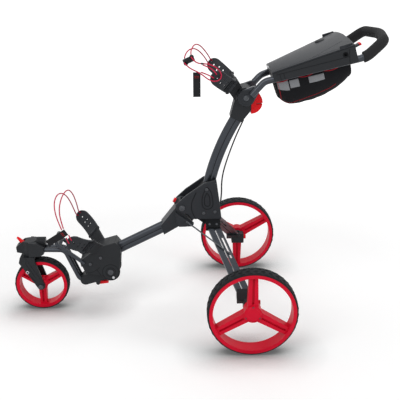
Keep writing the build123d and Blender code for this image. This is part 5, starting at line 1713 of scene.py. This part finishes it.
@dataclass
class Handle:
    """The foam grip and the small fittings of the console."""

    slope: Slope
    nodes: dict[str, bpy.types.Object]
    foam_voxel: float = 1.8
    foam_passes: int = 8
    foam_keep: float = 0.5
    lid_rise: float = 12.0
    lid_edge: float = 4.3
    line_steps: int = 8
    sides: int = 36

    WASHER = ((5.4, -0.2), (8.7, -0.2), (8.7, 0.7), (8.1, 1.3), (6.0, 1.3), (5.4, 0.7))
    HINGE_CAP = ((11.0, 55.2), (26.6, 55.2), (26.6, 56.2), (25.6, 57.0), (22.5, 57.0), (21.8, 56.2),
                 (18.0, 56.2), (17.4, 57.2), (12.4, 57.2), (11.0, 56.4))
    DOME = ((0.0, 0.0), (17.0, 0.0), (17.5, 2.5), (15.0, 5.5), (8.0, 7.0), (0.0, 7.2))
    DOME_AT = (214.0, 46.0)
    CLIP_AT = 262.0
    SOCKET_AT = (32.0, 25.0)
    LEVER_AT = (296, 8)
    LEVER_REACH = 32.5
    LEVER_PITCH = math.radians(12)
    LID_LINES = (((150.0, 0.94), (262.0, 0.52)), ((40.0, 0.90), (270.0, 0.93)))
    TRAY_LINES = (((40, 14), (262, 16)), ((50, 13), (50, -6)), ((62, 13), (62, -6)), ((266, 38), (258, -6)))

    def build(self) -> None:
        """Make the grip and the console's fittings."""
        self._grip()
        self._lid_creases()
        self._tray_bands()
        self._fittings()

    def _grip(self) -> None:
        """Make the foam sleeve with soft edges."""
        node = "handle_grip"
        grip = remoulded(node + "_foam", self.nodes[node], self.foam_voxel, self.foam_passes, self.foam_keep)
        smoothed(finished(grip))
        fitted(grip, FOAM, "handle", node)

    def _lid_height(self, along: float, across: float) -> float:
        """Give the height of the lid's outer face."""
        half = self.slope.tube_half(along) + self.slope.side
        return self.slope.rim(along) + self.lid_edge + self.lid_rise * (1 - (across / half) ** 2)

    def _steps(self, first: Point, last: Point) -> list[tuple[float, float]]:
        """Divide a straight line.

        Args:
            first: The two numbers of its start.
            last: Those of its end.

        Returns:
            The numbers of each place on it.
        """
        shares = [step / self.line_steps for step in range(self.line_steps + 1)]
        return [(first[0] + (last[0] - first[0]) * share, first[1] + (last[1] - first[1]) * share)
                for share in shares]

    def _lid_creases(self) -> None:
        """Raise the long crease lines on the lid."""
        for side in Side:
            runs = []
            for first, last in self.LID_LINES:
                points = []
                for along, part in self._steps(first, last):
                    across = side.value * (self.slope.tube_half(along) + self.slope.side) * part
                    points.append(self.slope.at(along, across, self._lid_height(along, across) - 0.4))
                runs.append(points)
            creases(f"lid_creases_{side.word}", "console_lid", runs, 0.9, SATIN, 3)

    def _tray_bands(self) -> None:
        """Paint shade along the bands and seams of the tray's sides, as near-black lines."""
        slope = self.slope
        for side in Side:
            runs = []
            for first, last in self.TRAY_LINES:
                points = []
                for along, up in self._steps(first, last):
                    across = side.value * (slope.tube_half(along) + slope.side - 0.1)
                    points.append(slope.at(along, across, up))
                runs.append(points)
            # Near-black lines of painted shade along the bands and seams.
            creases(f"tray_bands_{side.word}", "handle", runs, 0.8, SHADOW)

    def _plate(self, name: str, body: str, size: Point, place: Matrix, finish: Finish,
               bevel: float = 1.6) -> None:
        """Make a rounded plate on the slope and let it ride.

        Args:
            name: The plate's name.
            body: The body that it rides on.
            size: Its three lengths in millimetres.
            place: Its placement.
            finish: Its finish.
            bevel: The radius of its edges in millimetres.
        """
        fitted(placed(block(name, size, bevel), place), finish, body)

    def _fittings(self) -> None:
        """Add the latch, the clips, the near-black rings of painted shade round the sockets, the hinge caps,
        the round cap and the lever's tip.
        """
        slope = self.slope
        place = slope.frame(slope.start + 1.5, 0, slope.rim(slope.start) + 9.0)
        self._plate("front_latch", "console_lid", (9, 20, 7), place, STEEL)
        lean = slope.tube_half(1.0) - slope.tube_half(0.0)
        upward = slope.frame(0, 0, 0).col[2].xyz
        for side in Side:
            sign = side.value
            along = self.CLIP_AT
            half = slope.tube_half(along) + slope.side
            place = slope.frame(along - 2, sign * (half - 8.0), self._lid_height(along, half) + 1.5)
            self._plate(f"lid_clip_{side.word}", "console_lid", (40, 9, 12), place, SATIN, 2.4)
            along = slope.end - self.SOCKET_AT[0]
            half = slope.tube_half(along) + slope.side
            out = (Vector((0, sign, 0)) - slope.heading() * lean).normalized()
            at = slope.at(along, sign * half, self.SOCKET_AT[1]) + out * (2.0 * MM)
            place = Matrix.Translation(at) @ axes(out.cross(upward), out, upward)
            # A near-black ring of painted shade round each socket.
            fitted(turned(f"socket_rim_{side.word}", self.WASHER, self.sides, place), SHADOW, "handle")
            profile = [(radius, sign * out_by) for radius, out_by in self.HINGE_CAP]
            place = shifted((HANDLE_HINGE[0], 0, HANDLE_HINGE[1]))
            fitted(turned(f"hinge_cap_{side.word}", profile, self.sides, place), SATIN, "handle")
        place = slope.frame(*self.DOME_AT, self._lid_height(*self.DOME_AT) - 1.5)
        place = place @ Matrix.Rotation(math.pi / 2, 4, "X")
        fitted(turned("lid_cap", self.DOME, self.sides, place), MOULDED, "console_lid")
        pitch = self.LEVER_PITCH
        ahead = self.LEVER_AT[0] + self.LEVER_REACH * math.cos(pitch)
        place = slope.frame(ahead, 0, self.LEVER_AT[1] + self.LEVER_REACH * math.sin(pitch))
        place = place @ Matrix.Rotation(-pitch, 4, "Y")
        self._plate("brake_lever_tip", "brake_lever", (8, 27.6, 7.4), place, LEVER_RED, 1.8)


@dataclass
class HubTrim:
    """Near-black raised beads of painted shade on the hub's shells and in the tubes' grooves, and the ribbed
    hinges of the cradle wings on pads of painted shade.
    """

    repeat: Repeater
    nodes: dict[str, bpy.types.Object]
    face: float = 42.0
    bead: float = 1.1
    hinge_ribs: int = 4
    bag_axis: float = 51.3
    rib_reach: tuple[float, float] = (9.0, 24.0)
    groove_face: float = 6.0
    groove_sink: float = 0.3
    groove: float = 1.1

    HINGES = (("upper", (131, 78, 812), 32.0, 50), ("lower", (-346, 62, 263), 38.0, 52))
    OVAL = ((56, 466), (70, 452), (75, 424), (78, 396), (62, 384), (44, 388), (38, 410), (42, 442), (56, 466))
    PANEL = ((56, 444), (64, 436), (67, 412), (66, 396), (50, 397), (47, 412), (49, 434), (56, 444))
    SEAM = ((20, 447), (8, 424), (2, 398), (6, 372), (18, 350))
    UPPER_TUBE = ((58.0, 432.0), (100.0, 583.0), (172.0, 722.0))
    FRONT_TUBE = ((-296.0, 207.6), (-40.0, 335.0))

    def build(self) -> None:
        """Add the beads and lines of painted shade and the ribs."""
        for side in Side:
            y = side.value * (self.face + 0.2)
            lines = [metres((x, y, z) for x, z in line) for line in (self.OVAL, self.PANEL, self.SEAM)]
            # The hub's beads are near-black: painted shade along the outline and seams of the shells.
            creases(f"hub_beads_{side.word}", "main_frame", lines, self.bead, SHADOW)
            self._grooves(side)
            for level, (x, out, z), splay, width in self.HINGES:
                self._hinge(level, side, Vector((x, side.value * out, z)), splay, width)

    def _grooves(self, side: Side) -> None:
        """Paint shade into the groove between the barrels of both frame tubes, as a near-black line laid in
        it.

        Args:
            side: Which side of the tubes.
        """
        for node, body, line in (("upper_tube", "main_frame", self._bow()),
                                 ("front_tube", "front_frame", self.FRONT_TUBE)):
            runs = Skin(self.nodes[node]).side_runs(line, side, self.groove_face, self.groove_sink)
            # A near-black line of painted shade lies in each tube's groove.
            creases(f"{node}_groove_{side.word}", body, runs, self.groove, SHADOW)

    def _bow(self) -> list[tuple[float, float]]:
        """Follow the upper tube's arc, which runs through three points.

        Returns:
            X and Z of places along it, in millimetres.
        """
        start, middle, end = (complex(x, z) for x, z in self.UPPER_TUBE)
        ratio = (end - start) / (middle - start)
        centre = start + (middle - start) * (ratio - abs(ratio) ** 2) / (2j * ratio.imag)
        places = []
        for step in range(25):
            along = start + (end - start) * step / 24
            places.append(centre + (along - centre) / abs(along - centre) * abs(start - centre))
        return [(place.real, place.imag) for place in places]

    def _hinge(self, level: str, side: Side, at: Vector, splay: float, width: float) -> None:
        """Put a ribbed pad on the outer face of a wing, by its hinge; the pad is near-black, painted shade
        between the ribs.

        Args:
            level: Upper or lower cradle.
            side: Which side.
            at: The hinge's middle in millimetres.
            splay: How far the wing stands outwards, in degrees.
            width: The wing's width.
        """
        tilt = math.radians(self.bag_axis)
        lean = math.radians(splay)
        axis = Vector((math.cos(tilt), 0, math.sin(tilt)))
        away = Vector((-math.sin(tilt), 0, math.cos(tilt)))
        out = Vector((0, side.value, 0))
        chord = away * math.cos(lean) + out * math.sin(lean)
        facing = out * math.cos(lean) - away * math.sin(lean)
        skin = Skin(self.nodes[f"{level}_wing_{side.word}"])
        ends = [skin.touch((at + chord * reach + facing * 60) * MM, -facing) for reach in self.rib_reach]
        if None in ends:
            LOG.warning("no face found for the %s %s hinge", level, side.word)
            return
        first, last = ends
        run = (last - first).normalized()
        rise = axis.cross(run)
        rise = rise if rise.dot(facing) > 0 else -rise
        turn = axes(axis, run, rise)
        body = f"wing_{level}_{side.word}"
        place = Matrix.Translation((first + last) / 2 + rise * (0.5 * MM)) @ turn
        # The pad is near-black, painted shade in the slots between the ribs.
        pad = block(f"{level}_hinge_pad_{side.word}", (width - 10, 22, 1.8), 0.7, 2, place)
        fitted(pad, SHADOW, body)
        bar = block("hinge_rib", (width - 15, 2.2, 2.4), 0.7, 2, turn)
        step = (last - first) / (self.hinge_ribs - 1)
        ribs = self.repeat.row(f"{level}_hinge_ribs_{side.word}", bar, self.hinge_ribs, step, SATIN)
        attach(placed(ribs, Matrix.Translation(first + rise * (1.6 * MM))), body)


@dataclass
class FrontFittings:
    """The red caster lock hook, the fork's rings and near-black lines of painted shade along the seams of the
    front mouldings.
    """

    nodes: dict[str, bpy.types.Object]

    HOOK = ((-586, 0, 252), (-594, 0, 258), (-600, 0, 266), (-607, 0, 272))
    COVER = (((-386, 144), (-366, 147), (-346, 151), (-330, 160), (-317, 172)),
             ((-330, 160), (-320, 144), (-309, 126)), ((-372, 144), (-366, 122), (-350, 98)))
    FORK = (((-575, 206), (-577, 184), (-564, 163), (-546, 130)), ((-567, 140), (-556, 126), (-545, 112)))
    DISC = (-282, 150)
    DISC_RINGS = (17.0, 29.0)
    DISC_STEPS = 48
    SEAM_SINK = 0.2
    RING = ((3.4, 0.0), (6.0, 0.0), (6.0, 1.2), (5.0, 2.0), (3.9, 2.0), (3.4, 1.4))
    RING_AT = (-573, 35.8, 152)
    RING_SIDES = 32
    HOOK_RADIUS = 4.6
    HOOK_TAPER = (1.25, 1.15, 0.95, 0.62)

    def build(self) -> None:
        """Make the hook, the rings and the seam lines of painted shade."""
        self._hook()
        self._seams()
        self._rings()

    def _seams(self) -> None:
        """Paint shade along the seams of the bracket and the fork, as near-black lines."""
        circles = []
        for radius in self.DISC_RINGS:
            angles = [FULL_TURN * step / self.DISC_STEPS for step in range(self.DISC_STEPS + 1)]
            circles.append([(self.DISC[0] + radius * math.cos(angle), self.DISC[1] + radius * math.sin(angle))
                            for angle in angles])
        bracket = ("lower_bracket", "bracket_seams", "front_frame", (*self.COVER, *circles), 30.0, 0.8)
        fork = ("front_fork", "fork_seams", "front_fork", self.FORK, 28.0, 0.7)
        for side in Side:
            for node, name, body, lines, face, radius in (bracket, fork):
                skin = Skin(self.nodes[node])
                runs = [run for line in lines for run in skin.side_runs(line, side, face, self.SEAM_SINK)]
                # Near-black lines of painted shade along the seams.
                creases(f"{name}_{side.word}", body, runs, radius, SHADOW)

    def _hook(self) -> None:
        """Make the red hook of the caster lock."""
        hook = nurbs_line("caster_lock_hook", metres(self.HOOK), self.HOOK_RADIUS * MM, 5)
        for place, share in zip(hook.data.splines[0].points, self.HOOK_TAPER):
            place.radius = share
        hook = placed(finished(hook), Matrix.Diagonal((1, 2.0, 1, 1)))
        fitted(hook, LEVER_RED, "caster_lock", "caster_lock_lever")

    def _rings(self) -> None:
        """Set a bright ring in each leg of the fork."""
        for side in Side:
            profile = [(radius, side.value * out) for radius, out in self.RING]
            place = shifted((self.RING_AT[0], side.value * self.RING_AT[1], self.RING_AT[2]))
            fitted(turned(f"fork_ring_{side.word}", profile, self.RING_SIDES, place), STEEL, "front_fork")


def main() -> None:
    """Load the frame, set the stage and dress it."""
    logging.basicConfig(level=logging.INFO, format="%(name)s %(message)s")
    bpy.ops.object.select_all(action="SELECT")
    bpy.ops.object.delete()
    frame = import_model()
    nodes = frame["nodes"]
    repeat = Repeater()
    slope = Slope()
    Stage().build()
    builders = (Cords(), Bare(nodes), Mouldings(nodes), Tyres(repeat), Fasteners(repeat), Webbing(repeat),
                CordLock(repeat), StorageNet(slope), Handle(slope, nodes), HubTrim(repeat, nodes),
                FrontFittings(nodes))
    for builder in builders:
        builder.build()
        LOG.info("built %s", type(builder).__name__)


if __name__ == "__main__":
    main()
